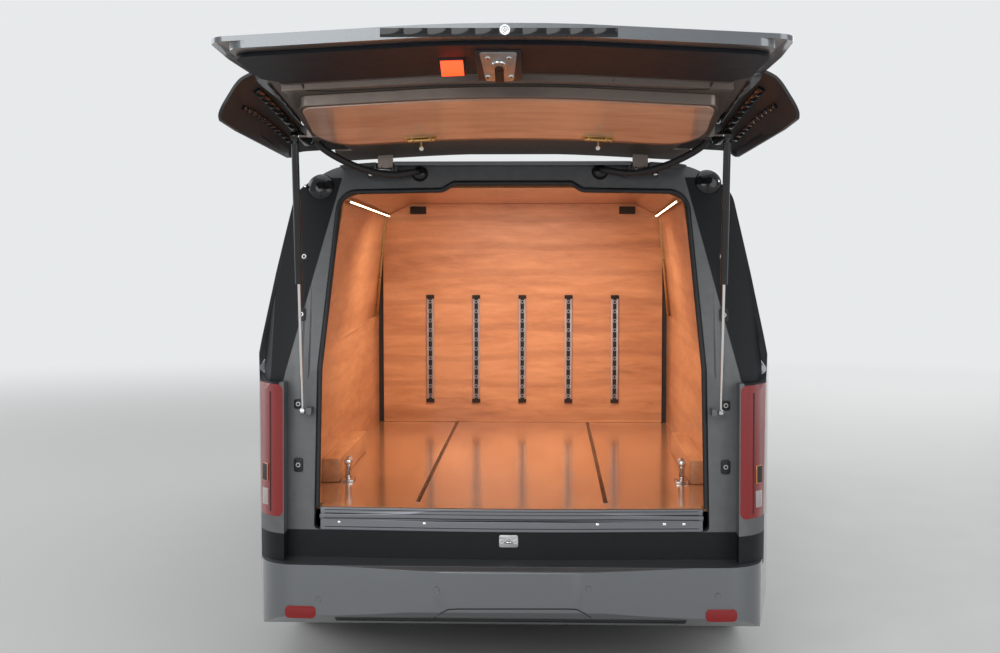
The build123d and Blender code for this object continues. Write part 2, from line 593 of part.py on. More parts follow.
def load_space():
    """Deck, sill, bulkhead, linings, ceiling and fittings."""
    rows = [(deck_half, -1060, 0), (deck_half, -850, 10), (deck_wide_half, -850, 10),
            (deck_wide_half, bulkhead_y, 0)]
    deck = upright(mirrored(rows), deck_top_z - deck_thick, deck_top_z) & ahead_of_tail(sill_depth + 17)
    deck = deck - both_sides(across_bar(698, 1100, 0, axle_z, housing_radius + 1))
    for x in (-450, 0, 450):
        deck = deck + block((x - 25, x + 25), (-840, bulkhead_y), (floor_top_z, 640))
    for x in (-stop_x, stop_x):
        deck = deck - block((x - 25.5, x + 25.5), (stop_y - 40.5, stop_y + 40.5),
                            (deck_top_z - 8, deck_top_z + 1))
    behind_deck = ahead_of_tail(sill_depth)
    sill = block((-deck_half, deck_half), (-1060, -850), (sill_top_z, 611)) & behind_deck
    sill = sill - block((-700, 700), (-1060, -930), (604, 611))
    sill = sill + block((-deck_half, deck_half), (-940, -850), (611, deck_top_z - deck_thick - 0.5))
    lip = block((-deck_half, deck_half), (-1060, -850), (611, deck_top_z - 1)) & behind_deck
    lip = lip - (ahead_of_tail(sill_depth + 17) & block((-700, 700), (-1060, 0), (627.5, 700)))
    sill = sill + lip

    panel = whole(form(body_wall) & block((0, 1100), (bulkhead_y + board, bulkhead_y + 34),
                                          (floor_top_z, 1900)))
    wood_rows = [(bulkhead_half, deck_top_z, 8), (bulkhead_half, 1640, 200), (716, 1746, 20),
                 (584, ceiling_z, 20)]
    wood = along(mirrored(wood_rows), bulkhead_y, bulkhead_y + board)

    front_y = bulkhead_y
    rear_y = -1000

    def lining(at_rear, at_front, thick):
        """A board between two straight edges, given as (x, z) at each end."""
        faces = []
        for y, points in ((rear_y, at_rear), (front_y, at_front)):
            (x1, z1), (x2, z2) = points
            length = math.hypot(x2 - x1, z2 - z1)
            nx, nz = (z2 - z1) / length * thick, -(x2 - x1) / length * thick
            ring = Polyline((x1, y, z1), (x2, y, z2), (x2 + nx, y, z2 + nz), (x1 + nx, y, z1 + nz),
                            close=True)
            faces.append(make_face(ring))
        return loft(faces, ruled=True)

    upper = lining(((690, ledge_z), (622, 1764)), ((778, ledge_z), (712, 1748)), board)
    ledge = upright([(690, rear_y, 0), (778, front_y, 0), (860, front_y, 0), (860, rear_y, 0)],
                    ledge_z - board, ledge_z)
    lower = block((deck_wide_half, deck_wide_half + board), (rear_y, front_y), (deck_top_z - 60, ledge_z))
    bevel = lining(((622, 1764), (520, ceiling_z)), ((712, 1748), (584, ceiling_z)), board)
    side = (upper + ledge + lower) & load_room()
    side = side - across_bar(698, 1100, 0, axle_z, housing_radius + 1)
    sides = both_sides(side)
    top = upright([(0, rear_y, 0), (520, rear_y, 0), (584, front_y, 0), (0, front_y, 0)],
                  ceiling_z, ceiling_z + board)
    ceiling = whole(((top + bevel) & load_room()) - side)
    rails = []
    for x in (-488, -244, 0, 244, 488):
        rails.append(block((x - 20, x + 20), (bulkhead_y - 12, bulkhead_y), (761, 1320)))
    stops = []
    for x in (-stop_x, stop_x):
        stop = block((x - 25, x + 25), (stop_y - 40, stop_y + 40), (deck_top_z - 8, deck_top_z + 10))
        stop = stop + bar((x, stop_y, deck_top_z), (x, stop_y, deck_top_z + 70), 12)
        stop = stop + block((x - 22, x + 22), (stop_y - 25, stop_y + 25),
                            (deck_top_z + 60, deck_top_z + 100), 6)
        stops.append(stop)
    fittings = together(*rails, *stops)
    return {"deck": deck, "deck_sill": sill, "bulkhead": panel, "bulkhead_board": wood,
            "side_linings": sides, "ceiling": ceiling, "load_fittings": fittings}


@remembered
def load_room():
    """The right half of the load space, ahead of the rear portal and inside the walls."""
    room = form(body_wall) & block((0, 1100), (-1400, bulkhead_y), (300, 2000))
    return room & ahead_of_tail(portal_depth)


def cab():
    """Dashboard with its column, and the seats."""
    inside = form(body_wall)
    dash_rows = [(firewall_y, 800, 10), (axle_y - 580, 800, 60), (axle_y - 640, 900, 60),
                 (axle_y - 600, 1080, 60), (axle_y - 340, 1160, 80), (firewall_y, 1160, 10)]
    dash = whole(across(dash_rows, 0, 836) & inside)
    x, y, z = wheel_hub
    tilt = math.radians(column_tilt)
    lean = Vector(0, math.cos(tilt), -math.sin(tilt))
    hub = Vector(x, y, z)
    start = hub + lean * 40
    column = bar(tuple(start), tuple(hub + lean * 320), 38)
    shaft_room = bar(tuple(hub), tuple(hub + lean * 110), column_shaft_radius + running_gap)
    dash = dash + column - shaft_room
    plane = Plane(origin=hub, z_dir=lean)
    ring = plane * Torus(180, 15)
    spokes = plane * Box(350, 34, 16)
    wheel = ring + spokes + bar(tuple(hub - lean * 22), tuple(hub + lean * 34), 52)
    wheel = wheel + bar(tuple(hub), tuple(hub + lean * 105), column_shaft_radius)
    seats = []
    for x in (-400, 400):
        base = block((x - 230, x + 230), (seat_y, seat_y + 480), (floor_top_z, 700), 12)
        cushion = block((x - 250, x + 250), (seat_y - 20, seat_y + 520), (700, 830), 40)
        back_rows = [(seat_y - 20, 760, 30), (seat_y - 170, 1390, 40), (seat_y - 50, 1410, 40),
                     (seat_y + 100, 800, 40)]
        back = across(back_rows, x - 240, x + 240)
        head = block((x - 130, x + 130), (seat_y - 155, seat_y - 60), (1420, 1590), 30)
        post = block((x - 50, x + 50), (seat_y - 120, seat_y - 100), (1380, 1450))
        seats.append(base + cushion + back + head + post)
    return {"dashboard": dash, "steering_wheel": wheel, "seats": together(*seats)}


def wheels():
    """Tyres, rims and steering knuckles."""
    made = {}
    for axle, y in (("front", axle_y), ("rear", 0)):
        for side, sign in (("left", -1), ("right", 1)):
            middle = sign * track / 2
            half = tyre_width / 2
            rows = [(rim_radius, half - 12, 4), (tyre_radius - 40, half, 40),
                    (tyre_radius, half - 24, 22), (tyre_radius, -half + 24, 22),
                    (tyre_radius - 40, -half, 40), (rim_radius, -half + 12, 4)]
            plane = Plane(origin=(middle, y, axle_z), x_dir=(0, 0, 1), z_dir=(0, -sign, 0))
            axis = Axis((middle, y, axle_z), (1, 0, 0))
            tyre = revolve(closed_outline(plane, rows), axis)
            barrel = [(rim_radius, half - 12, 0), (rim_radius - 18, half - 12, 0),
                      (rim_radius - 18, -half + 12, 0), (rim_radius, -half + 12, 0)]
            rim = revolve(closed_outline(plane, barrel), axis)
            inner, outer = sorted((middle + sign * 48, middle + sign * 66))
            disc = across_bar(inner, outer, y, axle_z, rim_radius - 12)
            for step in range(5):
                spot = Pos(0, y, axle_z) * Rot(step * 72, 0, 0) * Pos(middle, 0, 135)
                disc = disc - spot * Box(200, 92, 105)
            hub_in, hub_out = sorted((middle + sign * 10, middle + sign * 66))
            disc = disc + across_bar(hub_in, hub_out, y, axle_z, 78)
            bore = across_bar(*sorted((middle - sign * 50, middle + sign * 60)), y, axle_z,
                              spindle_radius + running_gap)
            made[f"tyre_{axle}_{side}"] = tyre
            made[f"rim_{axle}_{side}"] = rim + disc - bore
    for side, sign in (("left", -1), ("right", 1)):
        x = sign * steer_pivot_x
        knuckle = block(sorted((sign * 706, sign * 762)), (axle_y - 60, axle_y + 60), (246, 486), 8)
        spindle = across_bar(*sorted((sign * 760, sign * spindle_end)), axle_y, axle_z, spindle_radius)
        disc = across_bar(*sorted((sign * 764, sign * 788)), axle_y, axle_z, 150)
        pin_room = bar((x, axle_y, 200), (x, axle_y, 280), kingpin_radius + running_gap)
        made[f"knuckle_{side}"] = knuckle + spindle + disc - pin_room
    return made


def doors():
    """Front doors with their mirrors and glass."""
    cabin_side = block((600, 1100), (axle_y - 1800, axle_y - 400), (200, 1850))
    outer, inner = form() & cabin_side, form(body_wall) & cabin_side
    panel = (outer & across(DOOR_ROWS, 500, 1150)) - inner - across(DOOR_GLASS_ROWS, 500, 1150)
    head = block((985, 1110), (axle_y - 710, axle_y - 630), (1185, 1365), 24)
    arm = block((925, 1000), (axle_y - 690, axle_y - 640), (1170, 1215), 8) - form(ear_skin)
    panel = panel + (head + arm)
    pin_x, pin_y = door_hinge
    for height in door_hinge_heights:
        panel = panel - block((880, pin_x + 8), (pin_y - 18, pin_y + 22), (height - 15, height + 15))
        panel = panel - bar((pin_x, pin_y, height - 26), (pin_x, pin_y, height + 26),
                            hinge_pin_radius + running_gap)
    pane = (form(glass_depth) & cabin_side) - form(glass_depth + glass_thick)
    pane = pane & across(DOOR_GLASS_ROWS, 500, 1150)
    return {
        "door_right": panel, "door_left": mirror(panel, Plane.YZ),
        "door_glass_right": pane, "door_glass_left": mirror(pane, Plane.YZ),
    }


def struts():
    """Gas struts between their ends on the raised tailgate and on the portal."""
    top_y, top_z = strut_top
    angle = math.radians(open_angle)
    dy, dz = top_y - hinge_y, top_z - hinge_z
    top = Vector(0, hinge_y + dy * math.cos(angle) + dz * math.sin(angle),
                 hinge_z - dy * math.sin(angle) + dz * math.cos(angle))
    foot = Vector(0, *strut_foot)
    run = (foot - top).normalized()
    made = {}
    for side, sign in (("left", -1), ("right", 1)):
        shift = Vector(sign * strut_x, 0, 0)
        a, b = top + shift, foot + shift
        tube = bar(tuple(a), tuple(a + run * strut_tube_length), strut_tube_radius)
        tube = tube - bar(tuple(a + run * 30), tuple(a + run * (strut_tube_length + 1)), 6)
        tube = tube - across_bar(a.X - 20, a.X + 20, a.Y, a.Z, strut_pin_radius + 0.5)
        rod = bar(tuple(b), tuple(b - run * strut_rod_length), 5)
        rod = rod + across_bar(b.X - 7, b.X + 7, b.Y, b.Z, 12)
        rod = rod - across_bar(b.X - 20, b.X + 20, b.Y, b.Z, strut_pin_radius + 0.5)
        made[f"strut_tube_{side}"] = tube
        made[f"strut_rod_{side}"] = rod
    return made


def assembly():
    """Every piece by name, in the pose of the vehicle with its tailgate raised."""
    pieces = {}
    for group in (body_panels, front_panels, rear_panels, floor_and_frame, load_space, cab, wheels,
                  doors, struts):
        pieces.update(group())
    swing = Pos(0, hinge_y, hinge_z) * Rot(-open_angle, 0, 0) * Pos(0, -hinge_y, -hinge_z)
    for name, shape in tailgate().items():
        pieces[name] = swing * shape
    return pieces


def write_parts():
    """Write every piece, moved so that the origin lies under the middle of the length."""
    os.makedirs("parts", exist_ok=True)
    for name, shape in assembly().items():
        placed = Pos(0, rear_axle_y, 0) * together(shape)
        export_step(placed, f"parts/{name}.step")
        box = placed.bounding_box()
        print(f"{name:20s} solids {len(placed.solids()):3d} valid {placed.is_valid} "
              f"litres {placed.volume / 1e6:8.2f} y {box.min.Y:7.0f} {box.max.Y:7.0f} "
              f"z {box.min.Z:6.0f} {box.max.Z:6.0f} x {box.min.X:6.0f} {box.max.X:6.0f}")


if __name__ == "__main__":
    write_parts()
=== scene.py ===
import json
import math

import bmesh
import bpy
from mathutils import Matrix, Vector
from mathutils.bvhtree import BVHTree
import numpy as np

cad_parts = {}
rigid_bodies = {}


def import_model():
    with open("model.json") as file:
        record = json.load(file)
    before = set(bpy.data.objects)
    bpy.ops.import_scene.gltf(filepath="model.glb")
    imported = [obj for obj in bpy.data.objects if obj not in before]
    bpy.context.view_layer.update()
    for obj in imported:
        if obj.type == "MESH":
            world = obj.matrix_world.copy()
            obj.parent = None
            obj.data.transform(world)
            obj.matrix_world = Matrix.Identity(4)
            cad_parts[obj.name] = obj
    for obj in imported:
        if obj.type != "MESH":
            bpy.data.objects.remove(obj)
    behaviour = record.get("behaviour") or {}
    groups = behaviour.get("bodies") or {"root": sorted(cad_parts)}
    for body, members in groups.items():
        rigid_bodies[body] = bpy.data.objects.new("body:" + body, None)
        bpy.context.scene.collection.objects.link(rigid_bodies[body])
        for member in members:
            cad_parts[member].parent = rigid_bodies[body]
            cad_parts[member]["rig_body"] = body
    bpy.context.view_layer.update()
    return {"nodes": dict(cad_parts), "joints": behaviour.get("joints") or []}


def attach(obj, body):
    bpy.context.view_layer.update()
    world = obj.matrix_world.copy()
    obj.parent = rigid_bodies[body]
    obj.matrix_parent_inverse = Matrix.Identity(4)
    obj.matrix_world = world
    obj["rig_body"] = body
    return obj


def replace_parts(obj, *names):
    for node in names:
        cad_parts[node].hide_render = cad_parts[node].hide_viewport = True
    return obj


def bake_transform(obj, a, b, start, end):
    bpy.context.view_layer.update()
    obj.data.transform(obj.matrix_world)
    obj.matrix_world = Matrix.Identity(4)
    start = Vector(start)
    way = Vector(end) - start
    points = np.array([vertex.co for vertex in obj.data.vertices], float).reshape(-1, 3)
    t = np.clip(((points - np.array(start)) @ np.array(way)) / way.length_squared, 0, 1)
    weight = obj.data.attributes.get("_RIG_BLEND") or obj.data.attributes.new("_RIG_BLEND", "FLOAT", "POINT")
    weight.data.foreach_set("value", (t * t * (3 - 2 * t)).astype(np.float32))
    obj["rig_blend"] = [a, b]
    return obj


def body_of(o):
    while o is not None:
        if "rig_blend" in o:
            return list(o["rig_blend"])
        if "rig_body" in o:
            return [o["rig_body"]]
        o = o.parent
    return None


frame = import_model()
nodes = frame["nodes"]
joints = {joint["name"]: joint for joint in frame["joints"]}
rearAxle, frontAxle = (joints[f"wheel_{row}_left_spin"]["pos_m"][1] for row in ("rear", "front"))
print("frame loaded:", len(nodes), "nodes")


# the camera stands where the photograph was taken: behind the deck, a little right of the middle
photo = {
    "width": 1000,
    "height": 653,
    "focal": 1380,              # pixels
    "place": (0.125, -6.809, 1.6),
    "pitch": 3.46,              # degrees down
    "yaw": 1.91,                # degrees to the left
}


def makeCamera():
    data = bpy.data.cameras.new("camera")
    data.sensor_width = 36
    data.lens = photo["focal"] / photo["width"] * data.sensor_width
    data.clip_end = 200
    camera = bpy.data.objects.new("camera", data)
    camera.location = photo["place"]
    camera.rotation_euler = (math.radians(90 - photo["pitch"]), 0, math.radians(photo["yaw"]))
    bpy.context.scene.collection.objects.link(camera)
    bpy.context.scene.camera = camera
    bpy.context.view_layer.update()
    return camera


camera = makeCamera()


def pixelRay(x, y):
    # direction from the camera through a pixel of the 1000 by 653 photograph
    across = (x - photo["width"] / 2) / photo["focal"]
    up = (photo["height"] / 2 - y) / photo["focal"]
    return (camera.matrix_world.to_3x3() @ Vector((across, up, -1))).normalized()


skins = {}


def hit(node, start, direction):
    # where a straight line first meets a CAD piece, and the way its surface faces there
    if node not in skins:
        mesh = nodes[node].data
        skins[node] = BVHTree.FromPolygons(
            [v.co for v in mesh.vertices], [p.vertices[:] for p in mesh.polygons])
    point, normal = skins[node].ray_cast(Vector(start), Vector(direction).normalized())[:2]
    if point is None:
        raise ValueError(f"nothing of {node} lies that way from {tuple(start)}")
    if normal.dot(Vector(direction)) > 0:
        normal = -normal
    return point, normal


def pixelHit(node, x, y):
    # where the line of sight through a pixel meets a CAD piece
    return hit(node, photo["place"], pixelRay(x, y))


bothSides = ((-1, "left"), (1, "right"))
farBehind, farAhead, farAside, farAbove = -3.0, 5.0, 3.0, 3.0       # clear of the body


def fromRear(node, x, z):
    return hit(node, (x, farBehind, z), (0, 1, 0))


def fromFront(node, x, z):
    return hit(node, (x, farAhead, z), (0, -1, 0))


def fromSide(node, side, y, z):
    return hit(node, (side * farAside, y, z), (-side, 0, 0))


def rowOn(node, first, last, steps, way):
    # the surface points that lines from a straight row of starts meet, less those that miss the piece
    found = []
    for step in range(steps + 1):
        start = [a + (b - a) * step / steps for a, b in zip(first, last)]
        try:
            found.append(hit(node, start, way))
        except ValueError:
            continue
    return found


class Value:
    # a socket in a finish's tree: a sum written on it adds the Math nodes that it needs
    def __init__(self, finish, socket):
        self.finish = finish
        self.socket = socket

    def math(self, operation, *others, swapped=False):
        terms = [self, *others]
        if swapped:
            terms.reverse()
        return self.finish.node("Math", {"operation": operation}, dict(enumerate(terms)))

    def __add__(self, other):
        return self.math("ADD", other)

    def __sub__(self, other):
        return self.math("SUBTRACT", other)

    def __rsub__(self, other):
        return self.math("SUBTRACT", other, swapped=True)

    def __mul__(self, other):
        return self.math("MULTIPLY", other)

    __radd__ = __add__
    __rmul__ = __mul__


class Finish:
    # one material, with the values that are the same all over set on the shader itself
    def __init__(self, name, color, roughness, metallic=0.0, **more):
        self.material = bpy.data.materials.new(name)
        self.material.use_nodes = True
        self.tree = self.material.node_tree
        self.shader = self.tree.nodes["Principled BSDF"]
        plain = {"Base Color": (*color, 1), "Roughness": roughness, "Metallic": metallic}
        for socket, value in {**plain, **more}.items():
            self.shader.inputs[socket].default_value = value
        self.place = self.node("TexCoord", out="Object")

    def node(self, kind, settings={}, sockets={}, out=0):
        made = self.tree.nodes.new("ShaderNode" + kind)
        for key, value in settings.items():
            if key == "stops":
                self.setStops(made.color_ramp, value)
            else:
                setattr(made, key, value)
        for key, value in sockets.items():
            if isinstance(value, Value):
                self.tree.links.new(value.socket, made.inputs[key])
            else:
                made.inputs[key].default_value = value
        return Value(self, made.outputs[out])

    def setStops(self, ramp, stops):
        while len(ramp.elements) < len(stops):
            ramp.elements.new(0.5)
        for element, (position, color) in zip(ramp.elements, stops):
            element.position = position
            element.color = (*color, 1)

    def drive(self, **links):
        # links values to the shader's sockets, an underscore standing for the space in a name
        for name, value in links.items():
            socket = self.shader.inputs[name.replace("_", " ")]
            self.tree.links.new(value.socket, socket)
        return self

    def part(self, axis):
        # one coordinate of the place on the object
        return self.node("SeparateXYZ", {}, {0: self.place}, out="XYZ".index(axis))

    def stretched(self, scale):
        return self.node("Mapping", {}, {0: self.place, "Scale": scale})

    def noise(self, scale, detail=3.0, vector=None, distortion=0.0, roughness=0.5):
        sockets = {"Vector": vector or self.place, "Scale": scale, "Detail": detail,
                   "Roughness": roughness, "Distortion": distortion}
        return self.node("TexNoise", {}, sockets)

    def ramp(self, factor, *stops):
        return self.node("ValToRGB", {"stops": stops}, {0: factor})

    def blend(self, factor, first, second):
        first, second = (c if isinstance(c, Value) else (*c, 1) for c in (first, second))
        return self.node("Mix", {"data_type": "RGBA"}, {0: factor, 6: first, 7: second}, out=2)

    def bumped(self, height, strength, distance):
        return self.node("Bump", {}, {"Height": height, "Strength": strength, "Distance": distance})

    def step(self, value, low, high):
        # rises smoothly from 0 at low to 1 at high
        return self.node("MapRange", {"interpolation_type": "SMOOTHSTEP"},
                         {"Value": value, "From Min": low, "From Max": high})


def shades(color, share, lift=0.0):
    # a colour made darker or paler
    return [c * share + lift for c in color]


def silverPaint(color, metallic):
    # body colour with fine flakes under a clear coat, dusty near the ground
    made = Finish("silverPaint", color, 0.3, metallic, **{"Coat Weight": 1.0, "Coat Roughness": 0.04})
    flakes = made.noise(1400, 1)
    clouds = made.noise(2.5, 3)
    dust = made.step(made.part("Z"), 0.75, 0.2) * made.noise(14, 6)
    shade = made.blend(flakes * 0.5 + clouds * 0.2, shades(color, 0.8), shades(color, 1.18))
    shade = made.blend(dust * 0.3, shade, (0.15, 0.14, 0.125))
    made.drive(Base_Color=shade, Roughness=0.24 + flakes * 0.1 + dust * 0.3)
    return made.drive(Normal=made.bumped(flakes, 0.06, 0.0004))


def plastic(name, color, roughness=0.5, grain=700, depth=0.25, wear=0.35):
    # moulded and grained, paler and smoother where it is rubbed
    made = Finish(name, color, roughness)
    pebbles = made.node("TexVoronoi", {}, {"Vector": made.place, "Scale": grain})
    smears = made.noise(9, 5)
    worn = shades(color, 1 + wear, 0.004)
    made.drive(Base_Color=made.blend(made.step(smears, 0.35, 0.75), color, worn))
    made.drive(Roughness=roughness - 0.12 + smears * 0.24)
    return made.drive(Normal=made.bumped(pebbles, depth, 0.0003))


def wood(name, scale, tone, gloss=0.28, coat=0.4, pink=0.0):
    # oak laminate: the grain runs along the axis with the smallest scale, with a few knots
    made = Finish(name, (0.46, 0.22, 0.1), gloss, **{"Coat Weight": coat, "Coat Roughness": 0.12})
    long = made.stretched(scale)
    wander = made.noise(1.3, 4, long, 0.6)
    figure = made.node("TexWave", {"wave_type": "BANDS", "bands_direction": "Z"},
                       {"Vector": long, "Scale": 0.42, "Distortion": 7.0, "Detail": 4.0,
                        "Detail Scale": 0.7, "Detail Roughness": 0.6})
    pores = made.noise(34, 5, long, 0.2, 0.65)
    streaks = made.noise(6, 6, long, 0.3, 0.6)
    cells = made.node("TexVoronoi", {}, {"Vector": long, "Scale": 0.34, "Randomness": 1.0})
    knots = 1 - made.step(cells, 0.05, 0.16)
    oak = [shades(color, tone) for color in (
        (0.62, 0.315, 0.155), (0.49, 0.225, 0.1), (0.3, 0.118, 0.048))]
    light, mid, dark = ([r, g + (r - g) * pink * 0.5, b + (r - b) * pink * 0.6] for r, g, b in oak)
    shade = made.ramp(wander * 0.5 + streaks * 0.5, (0.28, dark), (0.5, mid), (0.72, light))
    shade = made.blend(made.step(figure, 0.72, 0.98) * 0.32, shade, dark)
    shade = made.blend(made.step(pores, 0.56, 0.74) * 0.3, shade, shades(dark, 0.6))
    shade = made.blend(knots * 0.75, shade, shades(dark, 0.5))
    made.drive(Base_Color=shade, Roughness=gloss - 0.05 + pores * 0.16)
    return made.drive(Normal=made.bumped(pores + knots * 0.4, 0.12, 0.0004))


def brushed(name, color, roughness, scale):
    # steel with fine lines along the axis with the smallest scale
    made = Finish(name, color, roughness, 1.0)
    lines = made.noise(60, 4, made.stretched(scale), 0, 0.7)
    smears = made.noise(5, 5)
    made.drive(Base_Color=made.blend(lines * 0.6 + smears * 0.3, shades(color, 0.78), color))
    made.drive(Roughness=roughness - 0.05 + lines * 0.14 + smears * 0.08)
    return made.drive(Normal=made.bumped(lines, 0.12, 0.0002))


def metal(name, color, roughness, spots, metallic=1.0):
    # cast, plated or polished, with darker stains as strong as spots
    made = Finish(name, color, roughness, metallic)
    stains = made.noise(38, 6)
    made.drive(Base_Color=made.blend(made.step(stains, 0.42, 0.8) * spots, color, shades(color, 0.45)))
    made.drive(Roughness=roughness - 0.04 + stains * 0.2)
    return made.drive(Normal=made.bumped(stains, 0.05, 0.0003))


def glass(name, color, alpha, roughness, dirt):
    # tinted glass with a film of dirt
    made = Finish(name, color, roughness, **{"Alpha": alpha, "IOR": 1.5, "Coat Weight": 0.6})
    film = made.noise(7, 6, None, 0.4)
    smudge = made.step(film, 0.5, 0.85)
    made.drive(Base_Color=made.blend(smudge * 0.3, color, [min(c * 1.6 + 0.02, 1) for c in color]))
    return made.drive(Roughness=roughness + smudge * dirt)


def lens(name, color, alpha=1.0, glow=0.0, glowColor=(1, 1, 1), ribs=260, coat=1.0):
    # a lamp's moulded cover with its fine prisms
    made = Finish(name, color, 0.08, **{"Alpha": alpha, "Coat Weight": coat, "Emission Strength": glow,
                                       "Emission Color": (*glowColor, 1)})
    prisms = made.node("TexWave", {"bands_direction": "X"}, {"Vector": made.place, "Scale": ribs})
    haze = made.noise(11, 4)
    made.drive(Base_Color=made.blend(prisms * 0.35 + haze * 0.2, color, shades(color, 0.55)))
    return made.drive(Normal=made.bumped(prisms, 0.25, 0.0006), Roughness=0.05 + haze * 0.12)


def glowing(name, color, strength):
    # a light strip's diffuser over its row of lights
    made = Finish(name, color, 0.4, **{"Emission Strength": strength})
    dots = made.noise(40, 2)
    return made.drive(Emission_Color=made.blend(dots, shades(color, 0.9), color))


def cloth(name, color, weave):
    # woven seat cloth: warp and weft cross, with a little fuzz over them
    made = Finish(name, color, 0.85, **{"Sheen Weight": 0.25})
    rows, columns = (made.node("TexWave", {"bands_direction": way}, {"Vector": made.place, "Scale": weave})
                     for way in "XZ")
    fuzz = made.noise(30, 6)
    made.drive(Base_Color=made.blend(rows * columns * 0.6 + fuzz * 0.3, shades(color, 0.6),
                                     shades(color, 1.5)))
    return made.drive(Normal=made.bumped(rows * columns + fuzz * 0.3, 0.4, 0.0005))


def treadRubber():
    made = Finish("tyreRubber", (0.022, 0.022, 0.023), 0.75)
    scuffs = made.noise(16, 7)
    fine = made.noise(420, 3)
    made.drive(Base_Color=made.blend(made.step(scuffs, 0.4, 0.75) * 0.6, (0.018, 0.018, 0.019),
                                     (0.06, 0.056, 0.05)))
    return made.drive(Roughness=0.62 + scuffs * 0.25, Normal=made.bumped(fine, 0.2, 0.0005))


def twoPaints(name, low, high, axis, level, soft=0.001):
    # one colour below a level and another above it, each with its own roughness and metal share
    (lowColor, lowRough, lowMetal), (highColor, highRough, highMetal) = low, high
    made = Finish(name, highColor, highRough, highMetal, **{"Specular IOR Level": 0.22})
    above = made.step(made.part(axis), level - soft, level + soft)
    mottle = made.noise(24, 5)
    lowShade, highShade = (made.blend(mottle, shades(color, 0.85), color) for color in (lowColor, highColor))
    made.drive(Base_Color=made.blend(above, lowShade, highShade))
    made.drive(Roughness=above * (highRough - lowRough) + lowRough - 0.05 + mottle * 0.1)
    made.drive(Metallic=above * (highMetal - lowMetal) + lowMetal)
    return made.drive(Normal=made.bumped(made.noise(500, 2), 0.08, 0.0003))


def portalPaintAndShade():
    # the rear portal: black below the sill's level, near-black painted shade on the pillars' shaded faces, a
    # grey header above
    made = Finish("portalPaintAndShade", (0.33, 0.35, 0.37), 0.5, 0.5, **{"Specular IOR Level": 0.25})
    side = made.part("X").math("ABSOLUTE")
    level = made.part("Z")
    # painted shade: the pillars' faces are darkened to near-black for the shade they lie in
    pillarShade = made.step(side + (level - 1.83) * 0.25, 0.640, 0.644) * (1 - made.step(level, 1.842, 1.846))
    sill = 1 - made.step(level, 0.5655, 0.5675)
    blackAndShade = pillarShade + sill - pillarShade * sill
    mottle = made.noise(30, 5)
    grey = made.blend(mottle, (0.13, 0.135, 0.14), (0.18, 0.185, 0.19))
    dark = made.blend(mottle, (0.005, 0.006, 0.008), (0.011, 0.012, 0.014))
    made.drive(Base_Color=made.blend(blackAndShade, grey, dark))
    made.drive(Metallic=0.55 - blackAndShade * 0.55, Roughness=0.46 + mottle * 0.12)
    return made.drive(Normal=made.bumped(made.noise(420, 2), 0.08, 0.0003))


# the gate's trim is black behind this line and painted as its panel ahead of it, a silver with a warm painted
# reflection of the wood
trimEdge = pixelHit("tailgate_trim", 420, 76)[0].y

